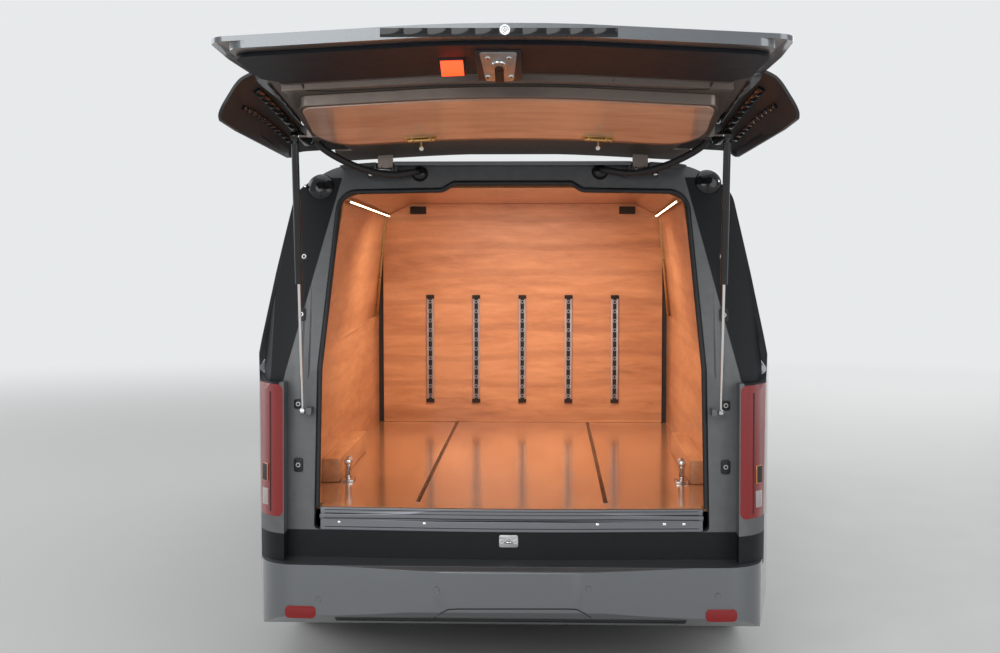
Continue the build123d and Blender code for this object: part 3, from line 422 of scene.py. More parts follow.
finishes = {
    "paint": silverPaint((0.185, 0.20, 0.215), 0.78),
    "portal": portalPaintAndShade(),
    "mirror": metal("mirrorGlass", (0.66, 0.68, 0.70), 0.05, 0.03),
    "daylight": glowing("daylightGuide", (0.9, 0.95, 1.0), 0.6),
    "structurePaint": plastic("blackBracketPaint", (0.010, 0.010, 0.011), 0.35, 400, 0.05),
    "brass": metal("agedBrass", (0.56, 0.36, 0.14), 0.24, 0.25),
    "whiteKnob": plastic("whiteKnob", (0.78, 0.77, 0.72), 0.3, 300, 0.03, 0.05),
    "blankPlate": plastic("blankPlate", (0.72, 0.72, 0.70), 0.35, 300, 0.03, 0.08),
    "trim": plastic("blackTrim", (0.012, 0.014, 0.017), 0.42),
    # the warm tint of the gate's silver panel in these two finishes is a painted reflection of the wood
    "gateTrim": twoPaints("gateTrimPlastic", ((0.002, 0.005, 0.010), 0.55, 0.0),
                          ((0.17, 0.135, 0.115), 0.3, 0.6), "Y", trimEdge),
    "gatePanel": metal("gatePanelPaintAndReflection", (0.19, 0.155, 0.135), 0.26, 0.1, 0.7),
    "blackGlass": glass("blackGlass", (0.006, 0.007, 0.008), 1.0, 0.1, 0.1),
    "wingInside": plastic("wingInsidePaint", (0.018, 0.019, 0.020), 0.5, 700, 0.15),
    "gateBlack": plastic("gateBlackPlastic", (0.006, 0.008, 0.011), 0.4, 900, 0.1),
    "gloss": plastic("glossBlack", (0.006, 0.006, 0.007), 0.12, 300, 0.02),
    "rubber": plastic("sealRubber", (0.009, 0.009, 0.010), 0.55, 500, 0.12),
    "structure": metal("darkSteel", (0.055, 0.056, 0.06), 0.5, 0.4, 0.4),
    "cast": metal("castIron", (0.11, 0.105, 0.1), 0.6, 0.6, 0.7),
    "privacy": glass("privacyGlass", (0.010, 0.011, 0.013), 1.0, 0.02, 0.08),
    "clear": glass("clearGlass", (0.35, 0.40, 0.40), 0.22, 0.01, 0.06),
    "tyre": treadRubber(),
    "alloy": metal("alloyWheel", (0.55, 0.56, 0.58), 0.28, 0.12, 0.9),
    "grainAcross": wood("laminateAcross", (0.9, 5.0, 5.0), 1.12),
    "grainAlong": wood("laminateAlong", (5.0, 0.9, 5.0), 1.12),
    # the ceiling is the walls' laminate made darker: painted shade, for the shade the ceiling lies in
    "shadedCeilingWood": wood("laminateCeilingShaded", (5.0, 0.9, 5.0), 0.72),
    "deckWood": wood("laminateDeck", (5.0, 0.7, 3.0), 0.92, 0.16, 0.9),
    "gateWood": wood("laminateGate", (0.9, 5.0, 5.0), 1.0, 0.14, 1.0, pink=0.35),
    "stainless": brushed("brushedStainless", (0.25, 0.26, 0.28), 0.3, (0.4, 9, 9)),
    "chrome": metal("chrome", (0.74, 0.74, 0.74), 0.09, 0.08),
    "zinc": metal("zincPlate", (0.55, 0.56, 0.56), 0.3, 0.35),
    "redLens": lens("redLens", (0.26, 0.002, 0.003), coat=0.3),
    "clearLens": lens("clearLens", (0.75, 0.78, 0.8), 0.5, ribs=120),
    "amberLens": lens("amberLens", (0.75, 0.24, 0.02)),
    "litRed": lens("litRed", (0.9, 0.04, 0.01), 1.0, 2.6, (1.0, 0.06, 0.01), 500),
    "cabPlastic": plastic("cabPlastic", (0.025, 0.026, 0.028), 0.6, 600, 0.3),
    "seatCloth": cloth("seatCloth", (0.045, 0.046, 0.05), 300),
    "ledGlow": glowing("ledGlow", (1.0, 0.72, 0.42), 9.0),
    "blackBoardAndShade": plastic("blackBoardAndShade", (0.012, 0.012, 0.012), 0.6, 200, 0.1),
}
print("finishes ready:", len(finishes))


cadFinish = {
    # finish: the CAD pieces that get it
    "paint": ["roof", "bonnet", "front_wings", "front_bumper", "body_sides", "sliding_doors",
              "door_left", "door_right", "tailgate", "rear_bumper"],
    "portal": ["rear_frame"],
    "privacy": ["side_glass"],
    "blackGlass": ["tailgate_glass"],
    "clear": ["windscreen", "door_glass_left", "door_glass_right"],
    "clearLens": ["headlamps"],
    "trim": ["grille"],
    "rubber": ["opening_seal"],
    "gateTrim": ["tailgate_trim"],
    "redLens": ["tail_lamps"],
    "structure": ["floor_pan", "front_frame", "front_posts", "firewall"],
    "cast": ["engine", "front_axle", "rear_axle", "knuckle_left", "knuckle_right"],
    "deckWood": ["deck"],
    "stainless": ["deck_sill"],
    "grainAcross": ["bulkhead_board"],
    "grainAlong": ["side_linings"],
    "shadedCeilingWood": ["ceiling"],
    "gateWood": ["tailgate_board"],
    "zinc": ["load_fittings"],
    "cabPlastic": ["dashboard", "steering_wheel", "bulkhead"],
    "seatCloth": ["seats"],
    "tyre": ["tyre_front_left", "tyre_front_right", "tyre_rear_left", "tyre_rear_right"],
    "alloy": ["rim_front_left", "rim_front_right", "rim_rear_left", "rim_rear_right"],
    "gloss": ["strut_tube_left", "strut_tube_right"],
    "chrome": ["strut_rod_left", "strut_rod_right"],
}
bodyOf = {name: body_of(piece)[0] for name, piece in nodes.items()}


def dress(node, finish):
    piece = nodes[node]
    if not piece.material_slots:
        piece.data.materials.append(None)
    for slot in piece.material_slots:
        slot.material = finishes[finish].material


for finish, members in cadFinish.items():
    for member in members:
        dress(member, finish)
print("CAD pieces dressed")


def newPiece(name, mesh, body, finish, creases=32):
    # turns the bmesh into a finished object that rides on a body, unless it is blended later
    bmesh.ops.remove_doubles(mesh, verts=mesh.verts, dist=1e-6)
    bmesh.ops.recalc_face_normals(mesh, faces=mesh.faces)
    data = bpy.data.meshes.new(name)
    mesh.to_mesh(data)
    mesh.free()
    for kind in [finish] if isinstance(finish, str) else finish:
        data.materials.append(finishes[kind].material)
    data.polygons.foreach_set("use_smooth", [True] * len(data.polygons))
    data.set_sharp_from_angle(angle=math.radians(creases))
    piece = bpy.data.objects.new(name, data)
    bpy.context.scene.collection.objects.link(piece)
    if body:
        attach(piece, body)
    return piece


def standing(point, normal, across=(1, 0, 0)):
    # a frame on a surface: local Z along its normal, local X along across
    up = Vector(normal).normalized()
    side = (Vector(across) - up * Vector(across).dot(up)).normalized()
    matrix = Matrix((side, up.cross(side), up)).transposed().to_4x4()
    matrix.translation = Vector(point)
    return matrix


def at(x, y, z):
    return Matrix.Translation((x, y, z))


def paintFaces(made, material):
    # gives the faces round new points one of the piece's materials
    for face in {face for vert in made for face in vert.link_faces}:
        face.material_index = material


def addBox(mesh, matrix, size, bevel=0.0, segments=2, material=0):
    made = bmesh.ops.create_cube(mesh, size=1, matrix=matrix @ Matrix.Diagonal((*size, 1)))["verts"]
    paintFaces(made, material)
    if bevel:
        edges = list({edge for vert in made for edge in vert.link_edges})
        bmesh.ops.bevel(mesh, geom=edges, offset=bevel, offset_type="OFFSET", segments=segments,
                        profile=0.5, affect="EDGES", material=-1, clamp_overlap=True)


def addRod(mesh, start, end, radius, endRadius=None, segments=24, material=0):
    start, end = Vector(start), Vector(end)
    turn = (end - start).to_track_quat("Z", "Y").to_matrix().to_4x4()
    made = bmesh.ops.create_cone(
        mesh, cap_ends=True, segments=segments, radius1=radius, radius2=endRadius or radius,
        depth=(end - start).length, matrix=Matrix.Translation((start + end) / 2) @ turn)["verts"]
    paintFaces(made, material)


def addTurned(mesh, matrix, profile, steps=32, material=0):
    # a profile of (radius, height) spun about the frame's Z
    verts = [mesh.verts.new((radius, 0, height)) for radius, height in profile]
    edges = [mesh.edges.new(pair) for pair in zip(verts, verts[1:])]
    before = set(mesh.faces)
    bmesh.ops.spin(mesh, geom=verts + edges, cent=(0, 0, 0), axis=(0, 0, 1), angle=math.tau,
                   steps=steps, use_merge=True, use_duplicate=False)
    faces = [face for face in mesh.faces if face not in before]
    made = list({vert for face in faces for vert in face.verts})
    bmesh.ops.transform(mesh, matrix=matrix, verts=made)
    for face in faces:
        face.material_index = material


def mergeInto(mesh, other, matrix, material):
    # moves a small bmesh of its own into place and adds it to a piece
    bmesh.ops.transform(other, matrix=matrix, verts=other.verts)
    for face in other.faces:
        face.material_index = material
    data = bpy.data.meshes.new("part")
    other.to_mesh(data)
    other.free()
    mesh.from_mesh(data)
    bpy.data.meshes.remove(data)


def addPlate(mesh, matrix, outline, thick, corner=0.0, bevel=0.0, material=0):
    # a flat outline in the frame's XY, its corners rounded, raised by thick along Z
    plate = bmesh.new()
    plate.faces.new([plate.verts.new((x, y, 0)) for x, y in outline])
    if corner:
        bmesh.ops.bevel(plate, geom=plate.verts[:], offset=corner, segments=5, profile=0.5,
                        affect="VERTICES", material=-1, clamp_overlap=True)
    grown = bmesh.ops.extrude_face_region(plate, geom=plate.faces[:])["geom"]
    top = [item for item in grown if isinstance(item, bmesh.types.BMVert)]
    bmesh.ops.translate(plate, verts=top, vec=(0, 0, thick))
    if bevel:
        lid = [item for item in grown if isinstance(item, bmesh.types.BMFace)][0]
        bmesh.ops.bevel(plate, geom=list(lid.edges), offset=bevel, segments=2, profile=0.5,
                        affect="EDGES", material=-1, clamp_overlap=True)
    mergeInto(mesh, plate, matrix, material)


def addPanel(mesh, matrix, size, thick, corner, bevel=0.0, material=0):
    # a plate with a rectangular outline, given by its width and height
    wide, tall = size[0] / 2, size[1] / 2
    addPlate(mesh, matrix, [(-wide, -tall), (wide, -tall), (wide, tall), (-wide, tall)], thick, corner, bevel,
             material)


def addTube(mesh, points, radius, smooth=True, sides=8, material=0):
    # a round tube along points, smoothed as a NURBS line or straight from point to point
    data = bpy.data.curves.new("line", "CURVE")
    data.dimensions = "3D"
    line = data.splines.new("NURBS" if smooth else "POLY")
    line.points.add(len(points) - 1)
    for spot, point in zip(line.points, points):
        spot.co = (*point, 1)
    if smooth:
        line.order_u = 4
        line.use_endpoint_u = True
        line.resolution_u = 6
    data.bevel_depth = radius
    data.bevel_resolution = max((sides - 4) // 2, 0)
    data.use_fill_caps = True
    holder = bpy.data.objects.new("line", data)
    made = bpy.data.meshes.new_from_object(holder)
    first = len(mesh.faces)
    mesh.from_mesh(made)
    mesh.faces.ensure_lookup_table()
    for face in mesh.faces[first:]:
        face.material_index = material
    bpy.data.objects.remove(holder)
    bpy.data.curves.remove(data)
    bpy.data.meshes.remove(made)


def addBar(mesh, start, end, width, height, up=(0, 0, 1), bevel=0.0, material=0):
    # a straight strip between two points, height along up
    start, end = Vector(start), Vector(end)
    along = (end - start).normalized()
    place = standing((start + end) / 2, Vector(up) - along * Vector(up).dot(along), along)
    addBox(mesh, place, ((end - start).length, width, height), bevel, 2, material)


def addStrip(mesh, row, off, width, height, bevel=0.0, material=0):
    # bars end to end along surface points, each reaching a bevel's width into the next
    for (a, normalA), (b, normalB) in zip(row, row[1:]):
        start, end = a + normalA * off, b + normalB * off
        reach = (end - start).normalized() * bevel
        addBar(mesh, start - reach, end + reach, width, height, normalA, bevel, material)


def addLine(mesh, node, first, last, steps, way, radius, off=0.0, material=0):
    # a thin tube laid on a CAD piece below a straight row of starts, its middle off the surface by off
    row = rowOn(node, first, last, steps, way)
    addTube(mesh, [point + normal * off for point, normal in row], radius, False, 8, material)


def addBolt(mesh, point, normal, radius, height=0.004, material=0):
    # a six-sided head on a washer
    place = standing(point, normal)
    addTurned(mesh, place, [(0, 0), (radius * 1.5, 0), (radius * 1.5, height * 0.3),
                            (radius * 1.1, height * 0.3), (0, height * 0.3)], 20, material)
    bmesh.ops.create_cone(mesh, cap_ends=True, segments=6, radius1=radius, radius2=radius * 0.92,
                          depth=height, matrix=place @ at(0, 0, height * 0.8))


def mirroredX(mesh):
    # adds the mirror image in the vehicle's middle plane
    copied = bmesh.ops.duplicate(mesh, geom=mesh.verts[:] + mesh.edges[:] + mesh.faces[:])["geom"]
    verts = [item for item in copied if isinstance(item, bmesh.types.BMVert)]
    bmesh.ops.scale(mesh, vec=(-1, 1, 1), verts=verts)
    faces = [item for item in copied if isinstance(item, bmesh.types.BMFace)]
    bmesh.ops.reverse_faces(mesh, faces=faces)


# the tailgate is raised at rest: its pieces are placed as on the shut one, and swung up
gateHinge = joints["tailgate_hinge"]
gateAxis = Vector(gateHinge["pos_m"])
gateSwing = (Matrix.Translation(gateAxis)
             @ Matrix.Rotation(-math.radians(max(gateHinge["range_deg"])), 4, "X")
             @ Matrix.Translation(-gateAxis))


def onGate(x, z, node="tailgate", widest=0.7, outside=False):
    # the raised place and normal of the spot that lies at (x, z) on the shut tailgate's inner face
    held = max(-widest, min(widest, x))
    side = -1 if outside else 1
    start = gateSwing @ Vector((held, rearAxle - 0.9 + side * 0.6, z))
    way = gateSwing.to_3x3() @ Vector((0, -side, 0))
    point, normal = hit(node, start, way)
    return point + Vector((x - held, 0, 0)), normal


def gateFrame(x, z, node="tailgate", outside=False):
    # local X across the vehicle, local Y towards the roof end of the tailgate, local Z off its face
    point, normal = onGate(x, z, node, outside=outside)
    return standing(point, normal, (-1 if outside else 1, 0, 0))


def gatePixelFrame(x, y):
    # a frame on the raised tailgate's trim, behind a pixel: X across, Y away from the hinges
    point, normal = pixelHit("tailgate_trim", x, y)
    return standing(point, normal)


def addWedge(mesh, flat, size, tilt):
    # a block on a face that rises towards the hinges, and the frame of its sloping side
    wide, tall = size
    deep = tall * math.sin(tilt)
    made = bmesh.new()
    bmesh.ops.create_cube(made, size=1)
    for vert in made.verts:
        if vert.co.y > 0 and vert.co.z > 0:
            vert.co.z = -0.44                   # the thin end keeps a little of its height
    bmesh.ops.transform(made, matrix=flat @ at(0, 0, deep / 2) @ Matrix.Diagonal((wide, tall, deep, 1)),
                        verts=made.verts)
    bmesh.ops.bevel(made, geom=list(made.edges), offset=0.0025, segments=2, profile=0.5,
                    affect="EDGES", material=-1)
    mergeInto(mesh, made, Matrix.Identity(4), 0)
    return flat @ at(0, 0, deep / 2 + 0.0015) @ Matrix.Rotation(-tilt, 4, "X")


gateLamp = {
    "pixel": (452, 60),
    "size": (0.066, 0.066),
    "border": 0.010,
    "tilt": 32,              # degrees that its hinge end stands off the trim
}


def makeGateLamp():
    # the lit red warning lamp in the trim, one block of small prisms
    lit = bmesh.new()
    wide, tall = gateLamp["size"]
    border = gateLamp["border"]
    slope = addWedge(lit, gatePixelFrame(*gateLamp["pixel"]), (wide + border, tall + border),
                     math.radians(gateLamp["tilt"]))
    addBox(lit, slope @ at(0, 0, 0.002), (wide, tall, 0.006), 0.002, 3, 1)
    newPiece("gateWarningLamp", lit, "tailgate", ["gateBlack", "litRed"])


gateSwageShade = {
    "half": [(-0.655, 1.035), (-0.625, 1.075), (-0.56, 1.115), (-0.3, 1.128), (0, 1.131)],
    "points": 4,             # on each stretch between two of the above
    "radius": 0.0035,
}


def makeSwage():
    # the pressed line across the inner panel, curled at its ends, drawn as a thin dark tube: painted shade in
    # its groove
    mesh = bmesh.new()
    half = gateSwageShade["half"]
    row = half + [(-x, z) for x, z in reversed(half[:-1])]
    points = []
    for (xa, za), (xb, zb) in zip(row, row[1:]):
        for number in range(gateSwageShade["points"]):
            share = number / gateSwageShade["points"]
            point, normal = onGate(xa + (xb - xa) * share, za + (zb - za) * share)
            points.append(point + normal * 0.0005)
    # the line is a thin dark tube: painted shade in the pressed groove
    addTube(mesh, points, gateSwageShade["radius"])
    newPiece("gateSwageShade", mesh, "tailgate", "rubber", 40)


lockPlate = {
    "pixel": (499, 55),
    "size": (0.106, 0.170),
    "narrow": 0.76,          # share of the width at the hinge end
    "recess": (0.022, 0.012),           # how much wider and longer than the plate
    "tilt": 19,              # degrees that its hinge end stands off the trim
    "deep": 0.004,
    "slot": (0.026, 0.075),
    "bail": [(-0.020, -0.01, 0.006), (-0.022, 0.03, 0.007), (0, 0.045, 0.008), (0.022, 0.03, 0.007),
             (0.020, -0.01, 0.006)],
    "bailRadius": 0.0035,
    "screws": [(-0.034, -0.055), (0.034, -0.055), (-0.030, 0.055), (0.030, 0.055)],
}


def makeLock():
    # the zinc latch plate in its recess, with the black slot that takes the striker
    mesh, walls = bmesh.new(), bmesh.new()
    wide, tall = lockPlate["size"]
    deep = lockPlate["deep"]
    moreWide, moreTall = lockPlate["recess"]
    place = addWedge(walls, gatePixelFrame(*lockPlate["pixel"]), (wide + moreWide, tall + moreTall),
                     math.radians(lockPlate["tilt"]))
    narrow = wide * lockPlate["narrow"] / 2
    addPlate(mesh, place, [(-narrow, -tall / 2), (narrow, -tall / 2), (wide / 2, tall / 2),
                           (-wide / 2, tall / 2)], deep, 0.010, 0.001)
    slotWide, slotTall = lockPlate["slot"]
    addBox(mesh, place @ at(0, (slotTall - tall) / 2 - 0.004, deep), (slotWide, slotTall, 0.004), material=1)
    addTurned(mesh, place @ at(0, slotTall - tall / 2, 0.002),
              [(0, 0.004), (slotWide / 2, 0.004), (slotWide / 2, 0), (0, 0)], 24, 1)
    addTube(mesh, [place @ Vector(p) for p in lockPlate["bail"]], lockPlate["bailRadius"], material=2)
    for x, y in lockPlate["screws"]:
        addTurned(mesh, place @ at(x, y, deep),
                  [(0, 0.004), (0.005, 0.0035), (0.008, 0.001), (0.008, 0), (0, 0)], 18, 2)
        addTurned(mesh, place @ at(x, y, deep + 0.0036),
                  [(0, 0.0008), (0.0028, 0.0008), (0.0028, 0), (0, 0)], 6, 1)
    newPiece("lockPlate", mesh, "tailgate", ["zinc", "gloss", "chrome"])
    newPiece("lockRecess", walls, "tailgate", "gateBlack")


plateStrip = {
    "ends": (380, 618),      # pixels, as are the row and the camera
    "row": 32.5,
    "camera": (505, 30),
    "bars": 10,
    "tall": 0.024,
}


def makePlateStrip():
    # the dark glass strip of the plate lamps on the lower edge, with a camera
    mesh = bmesh.new()
    low, high = plateStrip["ends"]
    bars = plateStrip["bars"]
    hits = [pixelHit("tailgate", low + (high - low) * number / bars, plateStrip["row"])
            for number in range(bars + 1)]
    normal = hits[bars // 2][1]
    for (a, _), (b, _) in zip(hits, hits[1:]):
        addBar(mesh, a + normal * 0.001, b + normal * 0.001, plateStrip["tall"], 0.006, normal, 0.001)
    place = standing(pixelHit("tailgate", *plateStrip["camera"])[0], normal)
    addTurned(mesh, place @ at(0, 0, 0.003), [
        (0, 0.002), (0.008, 0.002), (0.010, 0.006), (0.014, 0.006), (0.016, 0.0), (0, 0)], 28, 2)
    addTurned(mesh, place @ at(0, 0, 0.004), [(0, 0.004), (0.004, 0.003), (0.007, 0), (0, 0)], 20, 1)
    newPiece("plateLampStrip", mesh, "tailgate", ["gloss", "clearLens", "chrome"])


latches = {
    "xs": (-0.302, 0.302),
    "z": 1.462,
    "plate": (0.11, 0.018, 0.003),
    "guide": (0.014, 0.016, 0.012),
    "bolt": 0.006,           # radius
    "half": 0.045,           # of the bolt's length
    "knob": 0.034,           # height off the board
}


def makeLatches():
    # two brass bolts on the upper edge of the board, with white knobs
    mesh = bmesh.new()
    for x in latches["xs"]:
        place = gateFrame(x, latches["z"], "tailgate_board")
        up = place.to_3x3() @ Vector((0, 0, 1))
        addBox(mesh, place @ at(0, 0, 0.0015), latches["plate"], 0.001)
        for side in (-1, 1):
            addBox(mesh, place @ at(side * 0.03, 0, 0.008), latches["guide"], 0.002)
            addBolt(mesh, place @ Vector((side * 0.046, 0, 0.003)), up, 0.003, 0.003)
        half, top = latches["half"], latches["knob"]
        addRod(mesh, place @ Vector((-half, 0, 0.009)), place @ Vector((half, 0, 0.009)), latches["bolt"],
               segments=18)
        addRod(mesh, place @ Vector((0, 0, 0.008)), place @ Vector((0, 0, top)), 0.004, segments=16)
        addTurned(mesh, place @ at(0, 0, top), [
            (0, 0.012), (0.005, 0.011), (0.008, 0.006), (0.006, 0.0), (0, 0)], 20, 1)
    newPiece("boardLatches", mesh, "tailgate", ["brass", "whiteKnob"])


strutMount = {
    "centre": (-0.048, -0.004, 0.030),      # of the plate, from the right strut's hinge
    "plate": (0.056, 0.058, 0.005),
    "bolts": [(-0.015, 0.014), (0.014, 0.016), (-0.012, -0.010)],
    "socket": 0.0125,        # half the width of the strut's socket
}


def makeStrutMounts():
    # the black brackets that carry the struts' ball studs on the tailgate, and the struts' sockets
    mesh = bmesh.new()
    hinge = Vector(joints["strut_tube_right_hinge"]["pos_m"])
    place = standing(hinge + Vector(strutMount["centre"]), (0, -1, 0.12))
    wide, tall, thick = strutMount["plate"]
    addPlate(mesh, place, [(-wide / 2, -tall / 2 + 0.02), (wide / 2 - 0.02, -tall / 2), (wide / 2, -0.01),
                           (wide / 2, tall / 2), (-wide / 2, tall / 2)], thick, 0.006, 0.001)
    for x, y in strutMount["bolts"]:
        addBolt(mesh, place @ Vector((x, y, thick)), place.to_3x3() @ Vector((0, 0, 1)), 0.007, 0.006, 1)
    addTurned(mesh, standing(hinge - Vector((0.016, 0, 0)), (1, 0, 0), (0, 1, 0)), [
        (0, 0.026), (0.005, 0.024), (0.0085, 0.018), (0.0085, 0.014), (0.006, 0.010), (0.006, 0), (0, 0)],
        20, 1)
    mirroredX(mesh)
    newPiece("strutBrackets", mesh, "tailgate", ["structurePaint", "chrome"])

    for _, name in bothSides:
        top = Vector(joints[f"strut_tube_{name}_hinge"]["pos_m"])
        axis = Vector(joints[f"strut_rod_{name}_slide"]["axis"])
        if axis.z < 0:
            axis = -axis
        cap = bmesh.new()
        addTurned(cap, standing(top, (1, 0, 0), axis) @ at(0, 0, -strutMount["socket"]), [
            (0.0056, 0), (0.014, 0), (0.0155, 0.003), (0.0155, 0.022), (0.014, 0.025), (0.0056, 0.025)], 24)
        addTurned(cap, standing(top - axis * 0.03, -axis), [
            (0, -0.02), (0.011, -0.018), (0.0138, -0.008), (0.0138, 0.0), (0.0134, 0.002), (0, 0.002)], 24)
        newPiece(f"strutSocket_{name}", cap, f"strut_tube_{name}", "gloss")


wingRibs = {
    # both ends of each rib on the shut tailgate, as (x, z), and its width
    "ribs": [((0.865, 1.24), (0.795, 1.66), 0.016), ((0.815, 1.22), (0.735, 1.72), 0.024),
             ((0.770, 1.20), (0.690, 1.74), 0.012)],
    "high": 0.012,
}


def makeWingRibs():
    # long stiffening ribs on the hollow inner faces of the tailgate's glossy side wings
    mesh = bmesh.new()
    for (xa, za), (xb, zb), wide in wingRibs["ribs"]:
        row = []
        for number in range(11):
            share = number / 10
            try:
                row.append(onGate(xa + (xb - xa) * share, za + (zb - za) * share, "tailgate_glass", 1.0))
            except ValueError:
                continue
        addStrip(mesh, row, 0.005, wide, wingRibs["high"], 0.002)
    mirroredX(mesh)
    newPiece("wingRibs", mesh, "tailgate", "gloss")


gateOutside = {
    "plate": (0.52, 0.112),
    "plateAt": 0.79,         # heights on the shut tailgate
    "gripAt": 0.905,
    "wiperAt": 1.165,
    "brakeLampAt": 1.80,
    "grip": (0.74, 0.05, 0.024),
    "brakeLamp": (0.34, 0.03, 0.014),
    "blade": 0.42,
    "bladeTilt": 78,         # degrees from upright
}


def makeGateOutside():
    # the outer face: a blank plate in its recess, the grip with its lamps, wiper and high lamp
    mesh = bmesh.new()
    out, grip, pivot, high = (gateFrame(0, gateOutside[name], outside=True)
                              for name in ("plateAt", "gripAt", "wiperAt", "brakeLampAt"))
    wide, tall = gateOutside["plate"]
    addBox(mesh, out @ at(0, 0, 0.002), (wide + 0.03, tall + 0.03, 0.004), 0.002)
    addBox(mesh, out @ at(0, 0, 0.006), (wide, tall, 0.004), 0.0015, material=1)
    addBox(mesh, grip @ at(0, 0, 0.012), gateOutside["grip"], 0.008, 3, 2)
    addBox(mesh, grip @ at(0, -0.026, 0.012), (0.70, 0.008, 0.018), 0.002)
    addTurned(mesh, pivot, [(0, 0.03), (0.02, 0.028), (0.028, 0.018), (0.03, 0), (0, 0)], 28)
    tilt = math.radians(gateOutside["bladeTilt"])
    reach = Vector((math.sin(tilt), math.cos(tilt), 0))
    arm, blade = ([pivot @ (reach * along + Vector((0, 0, height))) for along, height in row] for row in (
        ((0, 0.024), (0.2, 0.03), (0.34, 0.022)), ((0.1, 0.014), (0.1 + gateOutside["blade"], 0.014))))
    addTube(mesh, arm, 0.006)
    addBar(mesh, *blade, 0.012, 0.014, pivot.to_3x3() @ Vector((0, 0, 1)), 0.003)
    addBox(mesh, high @ at(0, 0, 0.004), gateOutside["brakeLamp"], 0.004, 3, 3)
    newPiece("gateOutsideTrim", mesh, "tailgate", ["trim", "blankPlate", "paint", "redLens"])


def makeGate():
    makeGateLamp()
    makeSwage()
    makeLock()
    makePlateStrip()
    makeLatches()
    makeStrutMounts()
    makeWingRibs()
    makeGateOutside()
    print("tailgate trimmed")


def softened(node, finish, width=0.002, corner=32, inside=None, picks=None):
    # a merged copy of a CAD panel with its outer edges rounded, shaded smooth, that stands for it;
    # the faces that picks says yes to get the finish called inside
    mesh = bmesh.new()
    mesh.from_mesh(nodes[node].data)
    bmesh.ops.remove_doubles(mesh, verts=mesh.verts, dist=2e-5)
    bmesh.ops.dissolve_limit(mesh, angle_limit=math.radians(0.6), use_dissolve_boundaries=False,
                             verts=mesh.verts, edges=mesh.edges, delimit={"NORMAL"})
    turned = math.radians(corner)
    edges = [edge for edge in mesh.edges
             if edge.is_manifold and edge.is_convex and edge.calc_face_angle() > turned]
    bmesh.ops.bevel(mesh, geom=edges, offset=width, offset_type="OFFSET", segments=2, profile=0.5,
                    affect="EDGES", material=-1, clamp_overlap=True)
    for face in mesh.faces:
        face.material_index = int(bool(inside and picks(face.normal, face.calc_center_median())))
    data = bpy.data.meshes.new(f"{node}Skin")
    mesh.to_mesh(data)
    mesh.free()
    for kind in [finish, inside] if inside else [finish]:
        data.materials.append(finishes[kind].material)
    data.polygons.foreach_set("use_smooth", [True] * len(data.polygons))
    data.set_sharp_from_angle(angle=turned)
    piece = bpy.data.objects.new(f"{node}Skin", data)
    bpy.context.scene.collection.objects.link(piece)
    flatter = piece.modifiers.new("flatter", "WEIGHTED_NORMAL")     # broad faces keep their own normal
    flatter.keep_sharp = True
    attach(piece, bodyOf[node])
    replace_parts(piece, node)


def nearest(x, y, *names):
    # the closest of several CAD pieces behind a pixel of the photograph, or just beside it
    for shift in range(0, 30, 3):
        found = []
        for across, down in ((0, 0), (shift, 0), (-shift, 0), (0, shift), (0, -shift)):
            for name in names:
                try:
                    point, normal = pixelHit(name, x + across, y + down)
                except ValueError:
                    continue
                found.append(((point - Vector(photo["place"])).length, point, normal))
        if found:
            return min(found, key=lambda item: item[0])[1:]
    raise ValueError(f"nothing of {names} lies behind pixel {x}, {y}")


def pathsAlong(edges):
    # edges joined end to end, as lists of points in order
    left = dict.fromkeys(edges)
    paths = []
    while left:
        edge = next(iter(left))
        del left[edge]
        path = [*edge.verts]
        for forward in (True, False):
            while True:
                tip = path[-1] if forward else path[0]
                onward = [e for e in tip.link_edges if e in left]
                if not onward:
                    break
                del left[onward[0]]
                following = onward[0].other_vert(tip)
                path = path + [following] if forward else [following] + path
        paths.append([vert.co.copy() for vert in path])
    return paths


gaskets = {
    # glass: thickness of the rubber round it
    "windscreen": 0.007,
    "side_glass": 0.005,
    "door_glass_left": 0.0045,
    "door_glass_right": 0.0045,
}


def makeGaskets():
    # a rubber round the outer rim of each pane
    middle = Vector((0, 0.6, 1.0))

    def outward(face):
        way = face.calc_center_median() - middle
        way.y *= 0.35                       # the vehicle is long
        return face.normal.dot(way.normalized()) > 0.25

    for node, radius in gaskets.items():
        glassMesh, mesh = bmesh.new(), bmesh.new()
        glassMesh.from_mesh(nodes[node].data)
        bmesh.ops.remove_doubles(glassMesh, verts=glassMesh.verts, dist=2e-5)
        rim = [edge for edge in glassMesh.edges if edge.is_manifold and edge.calc_face_angle() > 0.9
               and outward(edge.link_faces[0]) != outward(edge.link_faces[1])]
        for loop in pathsAlong(rim):
            if len(loop) > 6:
                addTube(mesh, loop, radius, False)
        glassMesh.free()
        newPiece(f"{node}Gasket", mesh, bodyOf[node], "rubber", 60)
    print("windows sealed")


hingeCover = {
    "x": 0.472,
    "half": 0.024,
    "radius": 0.0135,
    "collars": (-0.0245, -0.0155, 0.0155, 0.0245),
    "collarRadius": 0.0165,
    "arm": (0.044, 0.010),   # width and thickness
    "bolts": (-0.013, 0.013),
    "feet": [(-0.055, 0.020), (0.055, 0.020)],          # beside and below the hinge
}


